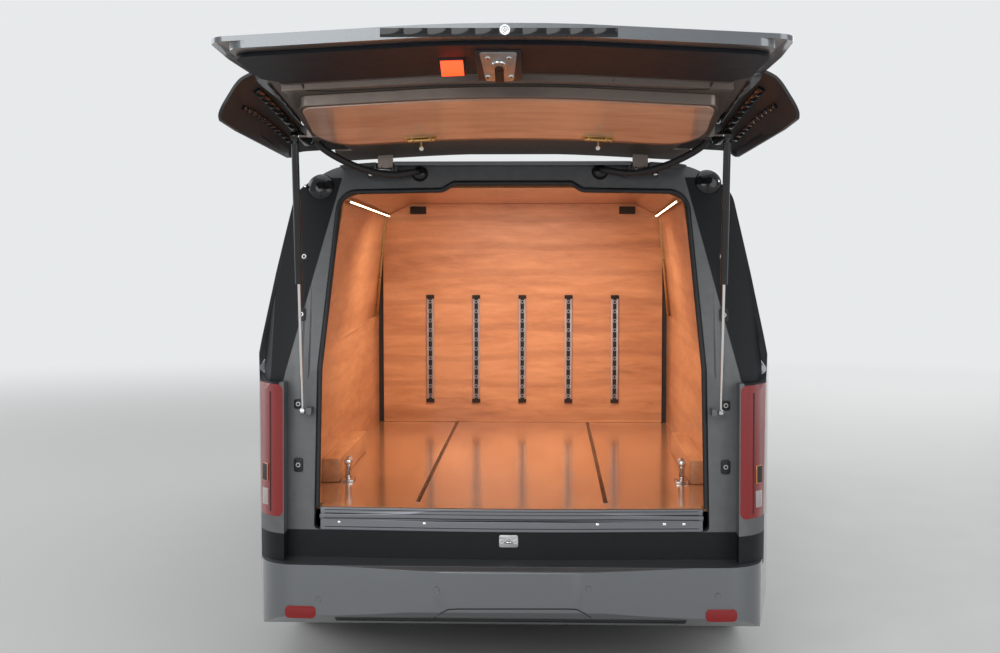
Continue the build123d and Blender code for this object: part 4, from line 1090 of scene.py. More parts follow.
def makeHinges():
    # the arms' painted covers, and the turned screws beside them on the roof's edge
    arm, foot = bmesh.new(), bmesh.new()
    reach = gateSwing.to_3x3() @ Vector((0, 0, -1))
    lead = gateSwing.to_3x3() @ Vector((0, 1, 0))
    along, rearward = Vector((1, 0, 0)), Vector((0, -1, 0))
    for side, _ in bothSides:
        start = gateAxis + along * side * hingeCover["x"]
        addRod(arm, start - along * hingeCover["half"], start + along * hingeCover["half"],
               hingeCover["radius"], segments=32)
        wide = hingeCover["collarRadius"]
        for step in hingeCover["collars"]:
            addTurned(arm, standing(start + along * step, along, (0, 1, 0)), [
                (0, 0.0015), (wide - 0.001, 0.0015), (wide, 0), (wide - 0.001, -0.0015), (0, -0.0015)], 32, 1)
        addBar(arm, start + reach * 0.012, start + reach * 0.060 + lead * 0.004, *hingeCover["arm"], lead,
               0.003)
        for step in hingeCover["bolts"]:
            addBolt(arm, start + reach * 0.042 + along * step + lead * 0.008, lead, 0.0065, 0.005, 2)
        for step, drop in hingeCover["feet"]:
            place = start + Vector((step, -0.016, -drop))
            addTurned(foot, standing(place, rearward), [
                (0, 0.004), (0.009, 0.0035), (0.0135, 0.0015), (0.0145, 0), (0, 0)], 28)
            addTurned(foot, standing(place + rearward * 0.0032, rearward), [
                (0, 0.0035), (0.004, 0.003), (0.0062, 0.001), (0.0062, 0), (0, 0)], 20, 1)
    newPiece("hingeCovers", arm, "tailgate", ["paint", "gloss", "chrome"])
    newPiece("hingeScrews", foot, "base", ["gloss", "chrome"])


portal = {
    # each of these rows starts with a pixel of the photograph
    "domes": [(321, 187, 0.052, 0.040), (708, 182, 0.050, 0.040)],       # radius, height
    "balls": [(306, 184, 0.0075), (717.5, 182, 0.0075)],
    "caps": [(318, 173, 0.011), (707, 171, 0.011)],
    # small stops up the pillars: z, height and thickness
    "fittings": [(0.80, 0.05, 0.008), (1.02, 0.035, 0.006), (1.34, 0.05, 0.003), (1.55, 0.03, 0.003)],
    "fittingX": 0.768,
    "fittingWide": 0.032,
}


def makePortalDetails():
    # rubber buffers, ball studs and caps at the opening's upper corners
    domes = bmesh.new()
    for x, y, radius, height in portal["domes"]:
        point, normal = nearest(x, y, "rear_frame", "body_sides")
        addTurned(domes, standing(point - normal * 0.002, normal), [
            (0, height * 0.62), (radius * 0.35, height * 0.60), (radius * 0.72, height * 0.42),
            (radius * 0.93, height * 0.16), (radius, 0), (0, 0)], 40)
        addTurned(domes, standing(point + normal * height * 0.6, normal), [
            (0, 0.004), (radius * 0.2, 0.004), (radius * 0.24, 0), (0, 0)], 24)
    for x, y, radius in portal["balls"]:
        addTurned(domes, standing(*nearest(x, y, "rear_frame", "body_sides", "roof")), [
            (0, radius * 2.2), (radius * 0.8, radius * 1.8), (radius, radius * 1.2), (radius * 0.7, 0),
            (0, 0)], 24, 1)
    for x, y, radius in portal["caps"]:
        addTurned(domes, standing(*nearest(x, y, "rear_frame", "body_sides", "roof")), [
            (0, 0.006), (radius * 0.7, 0.005), (radius, 0.001), (radius, 0), (0, 0)], 24)
    newPiece("pillarBuffers", domes, "base", ["gloss", "chrome"])

    shapes = bmesh.new()
    for side, _ in bothSides:
        for z, tall, deep in portal["fittings"]:
            point, normal = fromRear("rear_frame", side * portal["fittingX"], z)
            place = standing(point, normal)
            addPanel(shapes, place, (portal["fittingWide"], tall), deep, 0.008, 0.002)
            addBolt(shapes, place @ Vector((0, 0, deep)), normal, 0.0055, deep / 2, 1)
    newPiece("pillarFittings", shapes, "base", ["rubber", "zinc"])


sleeve = {
    # a spot on the shut tailgate as (x, z), and the pixel where the sleeve enters the header
    "left": ((-0.700, 1.67), (420, 174)),
    "right": ((0.700, 1.67), (600, 172)),
    "radius": 0.0125,
    "sag": [(0.25, 0.050), (0.5, 0.055), (0.78, 0.040)],        # share of the way, drop
}


def makeSleeves():
    # wiring sleeves from the tailgate's wings down to the header, soft across the hinge
    for _, name in bothSides:
        (x, z), pixel = sleeve[name]
        start, gateWay = onGate(x, z, widest=0.63)
        end, endWay = nearest(*pixel, "rear_frame", "roof", "ceiling")
        points = [start - gateWay * 0.004, start + gateWay * 0.025]
        points += [start.lerp(end, share) - Vector((0, 0, drop)) for share, drop in sleeve["sag"]]
        points += [end + endWay * 0.045, end - endWay * 0.002]
        mesh = bmesh.new()
        addTube(mesh, points, sleeve["radius"], True, 14)
        piece = newPiece(f"wiringSleeve_{name}", mesh, None, "rubber", 60)
        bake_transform(piece, "tailgate", "base", start=start, end=end)
        dome, boot = bmesh.new(), bmesh.new()
        addTurned(dome, standing(end - endWay * 0.001, endWay), [
            (0.012, 0.026), (0.017, 0.024), (0.026, 0.012), (0.030, 0.003), (0.031, 0), (0, 0)], 32)
        newPiece(f"sleeveGrommet_{name}", dome, "base", "gloss")
        addTurned(boot, standing(start - gateWay * 0.001, gateWay), [
            (0.012, 0.020), (0.016, 0.018), (0.022, 0.006), (0.023, 0), (0, 0)], 28)
        newPiece(f"sleeveBoot_{name}", boot, "tailgate", "gloss")


sealLip = {
    "radius": 0.009,
    "rearward": 0.002,
}


def makeSeal():
    # a rolled lip along the inner rear edge of the seal round the opening
    mesh, lips = bmesh.new(), bmesh.new()
    mesh.from_mesh(nodes["opening_seal"].data)
    bmesh.ops.remove_doubles(mesh, verts=mesh.verts, dist=2e-5)

    def facesInwards(face):
        spot = face.calc_center_median()
        return abs(face.normal.y) < 0.5 and face.normal.dot(Vector((spot.x, 0, spot.z - 1.2))) < 0

    inner = [edge for edge in mesh.edges if edge.is_manifold and edge.calc_face_angle() > 0.9
             and any(face.normal.y < -0.8 for face in edge.link_faces)
             and any(facesInwards(face) for face in edge.link_faces)]
    for loop in pathsAlong(inner):
        if len(loop) > 3:
            addTube(lips, [point - Vector((0, sealLip["rearward"], 0)) for point in loop],
                    sealLip["radius"], False, 10)
    mesh.free()
    newPiece("sealLips", lips, "base", "rubber", 60)


roomLights = {
    "ceiling": ((0.616, -1.60, 1.758), (0.704, 0.465, 1.743)),      # the right one's ends
    "ledge": ((0.745, -1.35), (0.790, 0.45)),
    "ceilingWide": (0.012, 0.006),          # of the channel and of the glowing strip in it
    "ledgeWide": (0.016, 0.009),
}


def makeRoomLights():
    # warm light strips in aluminium channels along the ceiling's edges and the ledges
    mesh = bmesh.new()
    channel, strip = roomLights["ceilingWide"]
    for side in (1, -1):
        up = Vector((-side * 0.75, 0, -0.66))
        first, last = (Vector((side * x, y, z)) for x, y, z in roomLights["ceiling"])
        addBar(mesh, first + up * 0.002, last + up * 0.002, channel, 0.006, up, 0.002, 1)
        addBar(mesh, first + up * 0.0045, last + up * 0.0045, strip, 0.003, up, 0.001)
    channel, strip = roomLights["ledgeWide"]
    up = Vector((0, 0, 1))
    for side, _ in bothSides:
        first, last = (hit("side_linings", (side * x, y, 1.35), -up)[0] for x, y in roomLights["ledge"])
        addBar(mesh, first + up * 0.003, last + up * 0.003, channel, 0.006, up, 0.0015, 1)
        addBar(mesh, first + up * 0.006, last + up * 0.006, strip, 0.004, up, 0.001)
    newPiece("lightStrips", mesh, "base", ["ledGlow", "alloy"])


wallRail = {
    "xs": (-0.488, -0.244, 0, 0.244, 0.488),
    "y": 0.482,
    "low": 0.761,
    "high": 1.32,
    "wide": 0.038,
    "holes": 11,
}


def makeWallRails():
    # aluminium lashing rails on the bulkhead: a channel with a row of round holes, capped black, with a dark
    # strip of painted shade inside the channel
    mesh = bmesh.new()
    low, high, y = wallRail["low"], wallRail["high"], wallRail["y"]
    middle, tall = (low + high) / 2, high - low
    for x in wallRail["xs"]:
        addBox(mesh, at(x, y + 0.0045, middle), (wallRail["wide"], 0.003, tall), 0.001)
        for side in (-1, 1):
            addBox(mesh, at(x + side * 0.014, y - 0.001, middle), (0.010, 0.009, tall), 0.0015)
        # painted shade: the dark strip inside each channel stands for the shade in its slot
        addBox(mesh, at(x, y + 0.0022, middle), (0.018, 0.002, tall - 0.01), material=1)
        for number in range(wallRail["holes"]):
            z = low + 0.03 + number * (tall - 0.06) / (wallRail["holes"] - 1)
            addTurned(mesh, standing((x, y + 0.0010, z), (0, -1, 0)), [
                (0.0065, 0.001), (0.0098, 0.001), (0.0098, 0)], 16)
        for z in (low + 0.004, high - 0.004):
            addBox(mesh, at(x, y - 0.001, z), (0.042, 0.013, 0.020), 0.003, 3, 1)
    rails = newPiece("wallRails", mesh, "base", ["alloy", "blackBoardAndShade"])
    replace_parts(rails, "load_fittings")


deckStop = {
    "foot": (0.665, -1.349, 0.650),
    "plate": (0.050, 0.080, 0.012),
    "screws": (-0.028, 0.028),
    "knurls": 9,
    "bar": (0.030, 0.011),   # half its length, and its radius
    "barAt": 0.080,
}


def makeDeckStops():
    # two chrome stops on the deck: a plate, a knurled pillar and a short bar across its top
    mesh = bmesh.new()
    profile = [(0.0, 0.072), (0.0135, 0.072), (0.0135, 0.062), (0.0115, 0.060)]
    for number in range(deckStop["knurls"]):
        height = 0.058 - number * 0.004
        profile += [(0.0132, height), (0.0118, height - 0.002)]
    profile += [(0.011, 0.02), (0.011, 0.012), (0.018, 0.011), (0.018, 0.008), (0, 0.008)]
    half, radius = deckStop["bar"]
    for side, _ in bothSides:
        x, y, z = deckStop["foot"]
        place = at(side * x, y, z)
        addBox(mesh, place @ at(0, 0, 0.004), deckStop["plate"], 0.003, 3)
        for step in deckStop["screws"]:
            addTurned(mesh, place @ at(0, step, 0.010), [
                (0, 0.003), (0.004, 0.0028), (0.006, 0.001), (0.006, 0), (0, 0)], 18)
        addTurned(mesh, place, profile, 28)
        ends = [place @ Vector((0, end * half, deckStop["barAt"])) for end in (-1, 1)]
        addRod(mesh, *ends, radius)
        for end, spot in zip((-1, 1), ends):
            addTurned(mesh, standing(spot, (0, end, 0)), [
                (0, 0.006), (0.008, 0.005), (0.0135, 0.001), (0.0135, -0.004), (0, -0.004)], 24)
    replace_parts(newPiece("coffinStops", mesh, "base", "chrome"), "load_fittings")


deckRunner = {
    "x": 0.345,
    "ends": (-1.80, 0.470),
    "z": 0.6502,
    "section": (0.016, 0.0022),
    "screws": 9,
}
loadTrim = {
    "housing": (0.070, 0.83, 0.094),        # wood boxes over the wheel housings
    "housingAt": (0.729, 0.697),
    "wedge": [(385, 217), (377, 318)],      # pixels: the brass strips beside the wall's board
    "block": (0.085, 0.012, 0.040),
    "blockAt": (0.55, 0.480, 1.772),
}


def makeDeckDetails():
    # slim inlaid runners on the deck, the wheel housings' boxes and the trims at the wall's board
    mesh = bmesh.new()
    front, rear = deckRunner["ends"]
    for side, _ in bothSides:
        a, b = (Vector((side * deckRunner["x"], y, deckRunner["z"])) for y in (front, rear))
        addBar(mesh, a, b, *deckRunner["section"], (0, 0, 1), 0.0006)
        for number in range(deckRunner["screws"]):
            spot = a.lerp(b, (number + 0.5) / deckRunner["screws"])
            addTurned(mesh, at(*spot) @ at(0, 0, 0.001), [
                (0, 0.0008), (0.003, 0.0006), (0.0042, 0), (0, 0)], 14, 1)
    newPiece("deckRunners", mesh, "base", ["stainless", "zinc"])

    boxes = bmesh.new()
    x, z = loadTrim["housingAt"]
    for side, _ in bothSides:
        addBox(boxes, at(side * x, rearAxle, z), loadTrim["housing"], 0.006, 3)
    newPiece("wheelHousingCovers", boxes, "base", "grainAlong")

    trims = bmesh.new()
    wedge = [nearest(*pixel, "bulkhead_board", "side_linings")[0] for pixel in loadTrim["wedge"]]
    for side in (1, -1):
        a, b = (Vector((side * spot.x, spot.y - 0.006, spot.z)) for spot in wedge)
        addBar(trims, a, b, 0.012, 0.012, (0, -1, 0), 0.002)
    for side, _ in bothSides:
        x, y, z = loadTrim["blockAt"]
        addBox(trims, at(side * x, y, z), loadTrim["block"], 0.004, material=1)
    newPiece("boardTrims", trims, "base", ["brass", "blackBoardAndShade"])


sill = {
    "half": 0.672,
    # painted shade: dark lines laid along the sill's folds
    "lines": [(0.6405, 0.0012), (0.6285, 0.0012), (0.6135, 0.0015), (0.5795, 0.0015)],      # z, radius
    "screws": (-0.62, -0.31, 0.31, 0.55, 0.62),
    "screwZ": 0.595,
    "striker": (-0.007, 0.535),
    "strikerPlate": (0.068, 0.044),
    "loop": [(-0.012, 0, 0.002), (-0.012, 0, 0.020), (-0.010, 0, 0.026), (0, 0, 0.028),
             (0.010, 0, 0.026), (0.012, 0, 0.020), (0.012, 0, 0.002)],
    "loopRadius": 0.0042,
}


def makeSill():
    # dark lines along the stainless sill's folds, painted shade in its creases, with its screws, and the
    # striker below it
    mesh = bmesh.new()
    for z, radius in sill["lines"]:
        row = rowOn("deck_sill", (-sill["half"], farBehind, z), (sill["half"], farBehind, z), 16, (0, 1, 0))
        addTube(mesh, [point - Vector((0, 0.0002, 0)) for point, _ in row], radius, False, 6)
    for x in sill["screws"]:
        addTurned(mesh, standing(*fromRear("deck_sill", x, sill["screwZ"])), [
            (0, 0.0022), (0.004, 0.002), (0.0062, 0.0006), (0.0062, 0), (0, 0)], 20, 1)
    newPiece("sillFoldShade", mesh, "base", ["rubber", "chrome"])

    striker = bmesh.new()
    point, normal = fromRear("rear_frame", *sill["striker"])
    place = standing(point, normal)
    addPanel(striker, place, sill["strikerPlate"], 0.0035, 0.007, 0.001)
    addTube(striker, [place @ Vector(p) for p in sill["loop"]], sill["loopRadius"], True, 12, 1)
    for step in (-0.025, 0.025):
        addBolt(striker, place @ Vector((step, 0, 0.0035)), normal, 0.006, 0.004, 1)
    newPiece("striker", striker, "base", ["zinc", "chrome"])


rearBumper = {
    "sensors": [(436.5, 589.6), (588.7, 589.0), (318, 600), (718, 596)],        # pixels
    "sensorRadius": 0.0105,
    "stepGrooveShade": [(434, 617.5), (441, 613), (448, 609.5)] + [
        (x, 609) for x in range(458, 576, 10)] + [(577, 609.5), (584, 613), (591, 617.5)],
    "reflector": (0.11, 0.044),
    "reflectorAt": (0.74, 0.30),
    "ribs": (0.262, 0.275),  # heights
    "ribHalf": 0.62,
}


def makeRearBumperDetails():
    # parking sensors, the step's grooves drawn as a dark line of painted shade, reflectors and the lower ribs
    mesh = bmesh.new()
    radius = rearBumper["sensorRadius"]
    for pixel in rearBumper["sensors"]:
        addTurned(mesh, standing(*pixelHit("rear_bumper", *pixel)), [
            (0, 0.0025), (radius * 0.82, 0.0022), (radius * 0.86, 0.0008), (radius, 0.0012),
            (radius * 1.12, 0.0), (0, 0)], 32)
    # painted shade: a thin dark tube along the step's groove
    step = [pixelHit("rear_bumper", *pixel)[0] for pixel in rearBumper["stepGrooveShade"]]
    addTube(mesh, step, 0.0024, False, 8, 1)
    x, z = rearBumper["reflectorAt"]
    for side, _ in bothSides:
        addPanel(mesh, standing(*fromRear("rear_bumper", side * x, z)), rearBumper["reflector"],
                 0.004, 0.015, 0.001, 2)
    half = rearBumper["ribHalf"]
    for z in rearBumper["ribs"]:
        addLine(mesh, "rear_bumper", (-half, farBehind, z), (half, farBehind, z), 12, (0, 1, 0), 0.004,
                material=1)
    newPiece("rearBumperDetails", mesh, "base", ["paint", "rubber", "redLens"])


tailLamp = {
    # the bands of clear and amber glass, lowest first, and the seam beside them
    "bands": [(0.66, 0.72), (0.745, 0.81)],
    "bandX": 0.885,
    "bandWide": 0.045,
    "seamX": 0.862,
    "seam": (0.64, 1.07),
}


def makeTailLampDetails():
    mesh = bmesh.new()
    for side, _ in bothSides:
        for band, heights in enumerate(tailLamp["bands"]):
            (a, normal), (b, _) = (fromRear("tail_lamps", side * tailLamp["bandX"], z) for z in heights)
            addBar(mesh, a, b, tailLamp["bandWide"], 0.006, normal, 0.0025, band)
        low, high = ((side * tailLamp["seamX"], farBehind, z) for z in tailLamp["seam"])
        addLine(mesh, "tail_lamps", low, high, 10, (0, 1, 0), 0.0025, material=2)
    newPiece("tailLampBands", mesh, "base", ["clearLens", "amberLens", "rubber"])


def makeRear():
    makeHinges()
    makePortalDetails()
    makeSleeves()
    makeSeal()
    makeRoomLights()
    makeWallRails()
    makeDeckStops()
    makeDeckDetails()
    makeSill()
    makeRearBumperDetails()
    makeTailLampDetails()
    print("portal and load space fitted")


wheel = {
    "tyre": 0.336,           # radii
    "rim": 0.222,
    "half": 0.1075,          # of the tyre's width
    "blocks": 60,            # tread blocks in each rib
    "ribs": [(-0.070, 0.030, 14), (-0.036, 0.028, 14), (0.0, 0.028, 0), (0.036, 0.028, -14),
             (0.070, 0.030, -14)],           # offset, width and turn in degrees
    "blockLong": 0.0305,
    "tread": 0.0075,
    "bolts": 5,
    "boltRing": 0.056,
    "spokes": 5,
    "valve": 0.190,
}


def makeTyre(name, centre):
    # carcass turned in one piece, with five ribs of tread blocks round it
    rim, half, tread = wheel["rim"], wheel["half"], wheel["tread"]
    carcass = wheel["tyre"] - tread
    wall = [(rim, half - 0.014), (rim + 0.010, half - 0.008), (rim + 0.022, half - 0.004),
            (rim + 0.024, half - 0.0055), (rim + 0.055, half - 0.0005), (rim + 0.057, half - 0.002),
            (rim + 0.070, half - 0.001), (carcass - 0.018, half - 0.006), (carcass - 0.006, half - 0.016),
            (carcass, half - 0.026)]
    profile = wall + [(r, -h) for r, h in reversed(wall)]
    mesh = bmesh.new()
    addTurned(mesh, standing(centre, (1, 0, 0), (0, 1, 0)), [*profile, profile[0]], 72)
    for rib, (offset, wide, lean) in enumerate(wheel["ribs"]):
        for number in range(wheel["blocks"]):
            turn = math.tau * (number + 0.5 * (rib % 2)) / wheel["blocks"]
            place = (Matrix.Translation(centre) @ Matrix.Rotation(turn, 4, "X")
                     @ at(offset, 0, carcass + tread / 2 - 0.0008)
                     @ Matrix.Rotation(math.radians(lean), 4, "Z"))
            addBox(mesh, place, (wide, wheel["blockLong"], tread - 0.0006))
    piece = newPiece(f"{name}Tread", mesh, bodyOf[name], "tyre", 40)
    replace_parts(piece, name)


def makeWheelFittings(name, centre, side):
    # lip, centre cap, wheel bolts, the spokes' dark inlays and the valve
    way = Vector((side, 0, 0))
    place = standing(centre + way * 0.0665, way, (0, 1, 0))

    def onRing(radius, turn, height=0.0):
        return place @ Vector((radius * math.cos(turn), radius * math.sin(turn), height))

    mesh = bmesh.new()
    addTurned(mesh, standing(centre + way * 0.0935, way, (0, 1, 0)), [
        (0.205, -0.004), (0.212, 0.0), (0.2165, 0.0016), (0.2205, 0.0), (0.2215, -0.004),
        (0.205, -0.004)], 72)
    addTurned(mesh, place, [
        (0, 0.007), (0.020, 0.007), (0.028, 0.005), (0.0305, 0.001), (0.0305, 0), (0, 0)], 40)
    for number in range(wheel["bolts"]):
        spot = onRing(wheel["boltRing"], math.tau * number / wheel["bolts"])
        addTurned(mesh, standing(spot, way, (0, 1, 0)), [
            (0.0115, 0.0), (0.0115, 0.0015), (0.0125, 0.0015), (0.0125, 0)], 20, 1)
        addBolt(mesh, spot, way, 0.0085, 0.010, 1)
    for number in range(wheel["spokes"]):
        turn = math.tau * (number + 0.5) / wheel["spokes"]
        addBar(mesh, onRing(0.085, turn, 0.0005), onRing(0.198, turn, 0.0005), 0.012, 0.004, way, 0.0018, 2)
    valve = onRing(wheel["valve"], 0)
    addRod(mesh, valve, valve + way * 0.018, 0.003, 0.0025, 12, 2)
    newPiece(f"wheelFittings_{name}", mesh, f"wheel_{name}", ["alloy", "chrome", "gloss"])


caliper = {
    # half widths out from the middle, distance from the axle, size and bevel of its two blocks
    "blocks": [(0.778, 0.128, (0.052, 0.052, 0.135), 0.010), (0.745, 0.108, (0.034, 0.060, 0.085), 0.008)],
    "height": 0.336,
}


def makeCalipers():
    # brake calipers, standing on the knuckles in front and on the axle behind
    for side, name in bothSides:
        for body, y, lean in ((f"knuckle_{name}", frontAxle, -1), ("base", rearAxle, 1)):
            mesh = bmesh.new()
            for x, off, size, bevel in caliper["blocks"]:
                addBox(mesh, at(side * x, y + lean * off, caliper["height"]), size, bevel, 3)
            newPiece(f"caliper_{body}_{name}", mesh, body, "cast")


def makeWheels():
    for row in ("front", "rear"):
        for side, hand in bothSides:
            name = f"{row}_{hand}"
            centre = Vector(joints[f"wheel_{name}_spin"]["pos_m"])
            makeTyre(f"tyre_{name}", centre)
            makeWheelFittings(name, centre, side)
    makeCalipers()
    print("wheels fitted")


handle = {
    "spots": [("door", 0.72), ("slider", 0.44)],        # kind, and how far forward
    "height": 1.03,
    "recess": (0.21, 0.048),
    "feet": (-0.088, 0.088),
    "foot": (0.024, 0.026, 0.026),
    "grip": [(-0.092, 0, 0.022), (-0.05, 0, 0.036), (0.05, 0, 0.036), (0.092, 0, 0.022)],
    "gripRadius": 0.0105,
}


def makeHandles():
    # a painted grip on two feet over a dark recess, with a lock barrel
    for side, name in bothSides:
        for kind, y in handle["spots"]:
            node = {"door": f"door_{name}", "slider": "sliding_doors"}[kind]
            point, normal = fromSide(node, side, y, handle["height"])
            place = standing(point, normal, (0, 1, 0))
            mesh = bmesh.new()
            addPanel(mesh, place, handle["recess"], 0.0012, 0.018, 0.0005, 1)
            for x in handle["feet"]:
                addBox(mesh, place @ at(x, 0, 0.012), handle["foot"], 0.005, 3)
            addTube(mesh, [place @ Vector(p) for p in handle["grip"]], handle["gripRadius"], True, 12)
            addTurned(mesh, place @ at(handle["feet"][1], 0, 0.0245), [
                (0, 0.002), (0.006, 0.002), (0.008, 0.0), (0, 0)], 20, 2)
            newPiece(f"handle_{kind}_{name}", mesh, bodyOf[node], ["paint", "gloss", "chrome"])


moulding = {
    # each row: first and last y, height, bars, and strips of stand-off, width, thickness, bevel
    "door": (0.62, 1.50, 0.62, 8, [(0.003, 0.055, 0.009, 0.003)]),
    "slider": (-0.50, 0.50, 0.62, 8, [(0.003, 0.055, 0.009, 0.003)]),
    "rail": (-1.62, -0.60, 1.128, 12, [(0.0015, 0.020, 0.004, 0.001), (0.0035, 0.007, 0.003, 0.0005)]),
    "sill": (-0.52, 1.55, 0.262, 14, [(0.002, 0.045, 0.007, 0.003)]),
}


def makeMouldings():
    # rubbing strips on the doors, the sliding doors' rails and the sills' covers
    for side, name in bothSides:
        for kind, node, title, finish in (
                ("door", f"door_{name}", f"moulding_door_{name}_{name}", "trim"),
                ("slider", "sliding_doors", f"moulding_sliding_doors_{name}", "trim"),
                ("rail", "body_sides", f"slideRail_{name}", ["paint", "gloss"]),
                ("sill", "body_sides", f"sillCover_{name}", "trim")):
            low, high, z, bars, strips = moulding[kind]
            row = rowOn(node, (side * farAside, low, z), (side * farAside, high, z), bars, (-side, 0, 0))
            mesh = bmesh.new()
            for material, strip in enumerate(strips):
                addStrip(mesh, row, *strip, material)
            newPiece(title, mesh, bodyOf[node], finish)


fuelFlap = {
    "spot": (-1.50, 0.98),
    "size": (0.156, 0.156),
    "gap": 0.004,
}


def makeFuelFlap():
    # a painted lid in a slim dark gap, on the right
    point, normal = fromSide("body_sides", 1, *fuelFlap["spot"])
    place = standing(point, normal, (0, 1, 0))
    wide, tall = fuelFlap["size"]
    gap = 2 * fuelFlap["gap"]
    mesh = bmesh.new()
    addPanel(mesh, place @ at(0, 0, -0.0004), (wide + gap, tall + gap), 0.0008, 0.022, 0, 1)
    addPanel(mesh, place, (wide, tall), 0.0022, 0.020, 0.001)
    newPiece("fuelFlap", mesh, "base", ["paint", "gloss"])


doorMirror = {
    "glassAt": (1.048, 0.9, 1.275),
    "frame": (0.100, 0.156),
    "glass": (0.090, 0.146),
    "lampAt": (1.055, 1.245),
    "lamp": (0.080, 0.012, 0.005),
}


def makeMirrorGlass():
    # the mirror in its black frame, and the amber lamp on the front of the housing
    for side, name in bothSides:
        door = f"door_{name}"
        x, y, z = doorMirror["glassAt"]
        place = standing(*hit(door, (side * x, y, z), (0, 1, 0)))
        mesh = bmesh.new()
        addPanel(mesh, place, doorMirror["frame"], 0.003, 0.018, 0.0005, 1)
        addPanel(mesh, place @ at(0, 0, 0.003), doorMirror["glass"], 0.0015, 0.015, 0.0004)
        x, z = doorMirror["lampAt"]
        place = standing(*hit(door, (side * x, 3.0, z), (0, -1, 0)))
        addBox(mesh, place @ at(0, 0, 0.001), doorMirror["lamp"], 0.002, material=2)
        newPiece(f"mirrorGlass_{name}", mesh, door, ["mirror", "trim", "amberLens"])


roofLines = {
    "gutterX": 0.690,
    "gutter": (-1.52, 1.28),
    "swages": (-0.44, -0.22, 0.0, 0.22, 0.44),
    "swage": (-1.25, 1.05),
    "aerialAt": (0, 1.20),
}


def makeRoofTrim():
    # rubber gutter strips, pressed swages along the roof and a short aerial
    mesh = bmesh.new()
    down = (0, 0, -1)
    for side, _ in bothSides:
        first, last = ((side * roofLines["gutterX"], y, farAbove) for y in roofLines["gutter"])
        addLine(mesh, "roof", first, last, 24, down, 0.0055, 0.0008)
    for x in roofLines["swages"]:
        first, last = ((x, y, farAbove) for y in roofLines["swage"])
        addLine(mesh, "roof", first, last, 20, down, 0.0048, -0.0012, 1)
    point, normal = hit("roof", (*roofLines["aerialAt"], farAbove), down)
    addTurned(mesh, standing(point - normal * 0.001, normal), [
        (0, 0.016), (0.009, 0.015), (0.017, 0.008), (0.021, 0), (0, 0)], 28)
    addRod(mesh, point + Vector((0, 0, 0.010)), point + Vector((0, -0.045, 0.075)), 0.0035, 0.0018, 12)
    newPiece("roofTrim", mesh, "base", ["rubber", "paint"])


def makeSides():
    makeHandles()
    makeMouldings()
    makeFuelFlap()
    makeMirrorGlass()
    makeRoofTrim()
    print("sides fitted")


grille = {
    "slats": 5,
    "low": 0.605,
    "pitch": 0.038,
    "half": 0.425,
}


def makeGrille():
    # slats across the grille, black and chrome in turn
    mesh = bmesh.new()
    half = grille["half"]
    for number in range(grille["slats"]):
        z = grille["low"] + grille["pitch"] * number
        row = rowOn("grille", (-half, farAhead, z), (half, farAhead, z), 12, (0, -1, 0))
        addStrip(mesh, row, 0.0018, 0.014, 0.006, 0.002, number % 2)
    newPiece("grilleSlats", mesh, "base", ["gloss", "chrome"])


headlamp = {
    "bowls": [(0.72, 0.815, 0.048), (0.83, 0.835, 0.040)],      # x, z and radius
    "deep": 0.034,           # how far the bowls lie behind the glass
    "guide": ((0.60, 0.772), (0.85, 0.807)),            # both ends of the daylight guide
}


def makeHeadlamps():
    # two bright bowls with their bulbs behind each glass, and the daylight guide below them
    mesh = bmesh.new()
    for side, _ in bothSides:
        for x, z, radius in headlamp["bowls"]:
            point, normal = fromFront("headlamps", side * x, z)
            place = standing(point - normal * headlamp["deep"], (0, 1, 0.05))
            addTurned(mesh, place, [
                (0.004, 0.0), (radius * 0.55, 0.004), (radius * 0.85, 0.012), (radius * 0.92, 0.020),
                (radius * 0.86, 0.0205), (radius * 0.5, 0.008), (0.004, 0.003), (0.004, 0.0)], 36)
            addTurned(mesh, place @ at(0, 0, 0.003), [
                (0, 0.014), (0.006, 0.013), (0.011, 0.007), (0.012, 0), (0, 0)], 24, 1)
        first, last = ((side * x, farAhead, z) for x, z in headlamp["guide"])
        addLine(mesh, "headlamps", first, last, 8, (0, -1, 0), 0.0045, -0.006, 2)
    newPiece("headlampBowls", mesh, "base", ["chrome", "clearLens", "daylight"])


frontBumper = {
    "ribs": 5,
    "ribLow": 0.34,
    "ribPitch": 0.030,
    "ribHalf": 0.46,
    "fog": (0.70, 0.40, 0.045),         # x, z and radius
    "plate": (0.52, 0.112),
    "plateFrame": 0.01,
    "plateZ": 0.52,
    "sensors": [(-0.64, 0.62), (-0.30, 0.535), (0.30, 0.535), (0.64, 0.62)],
}


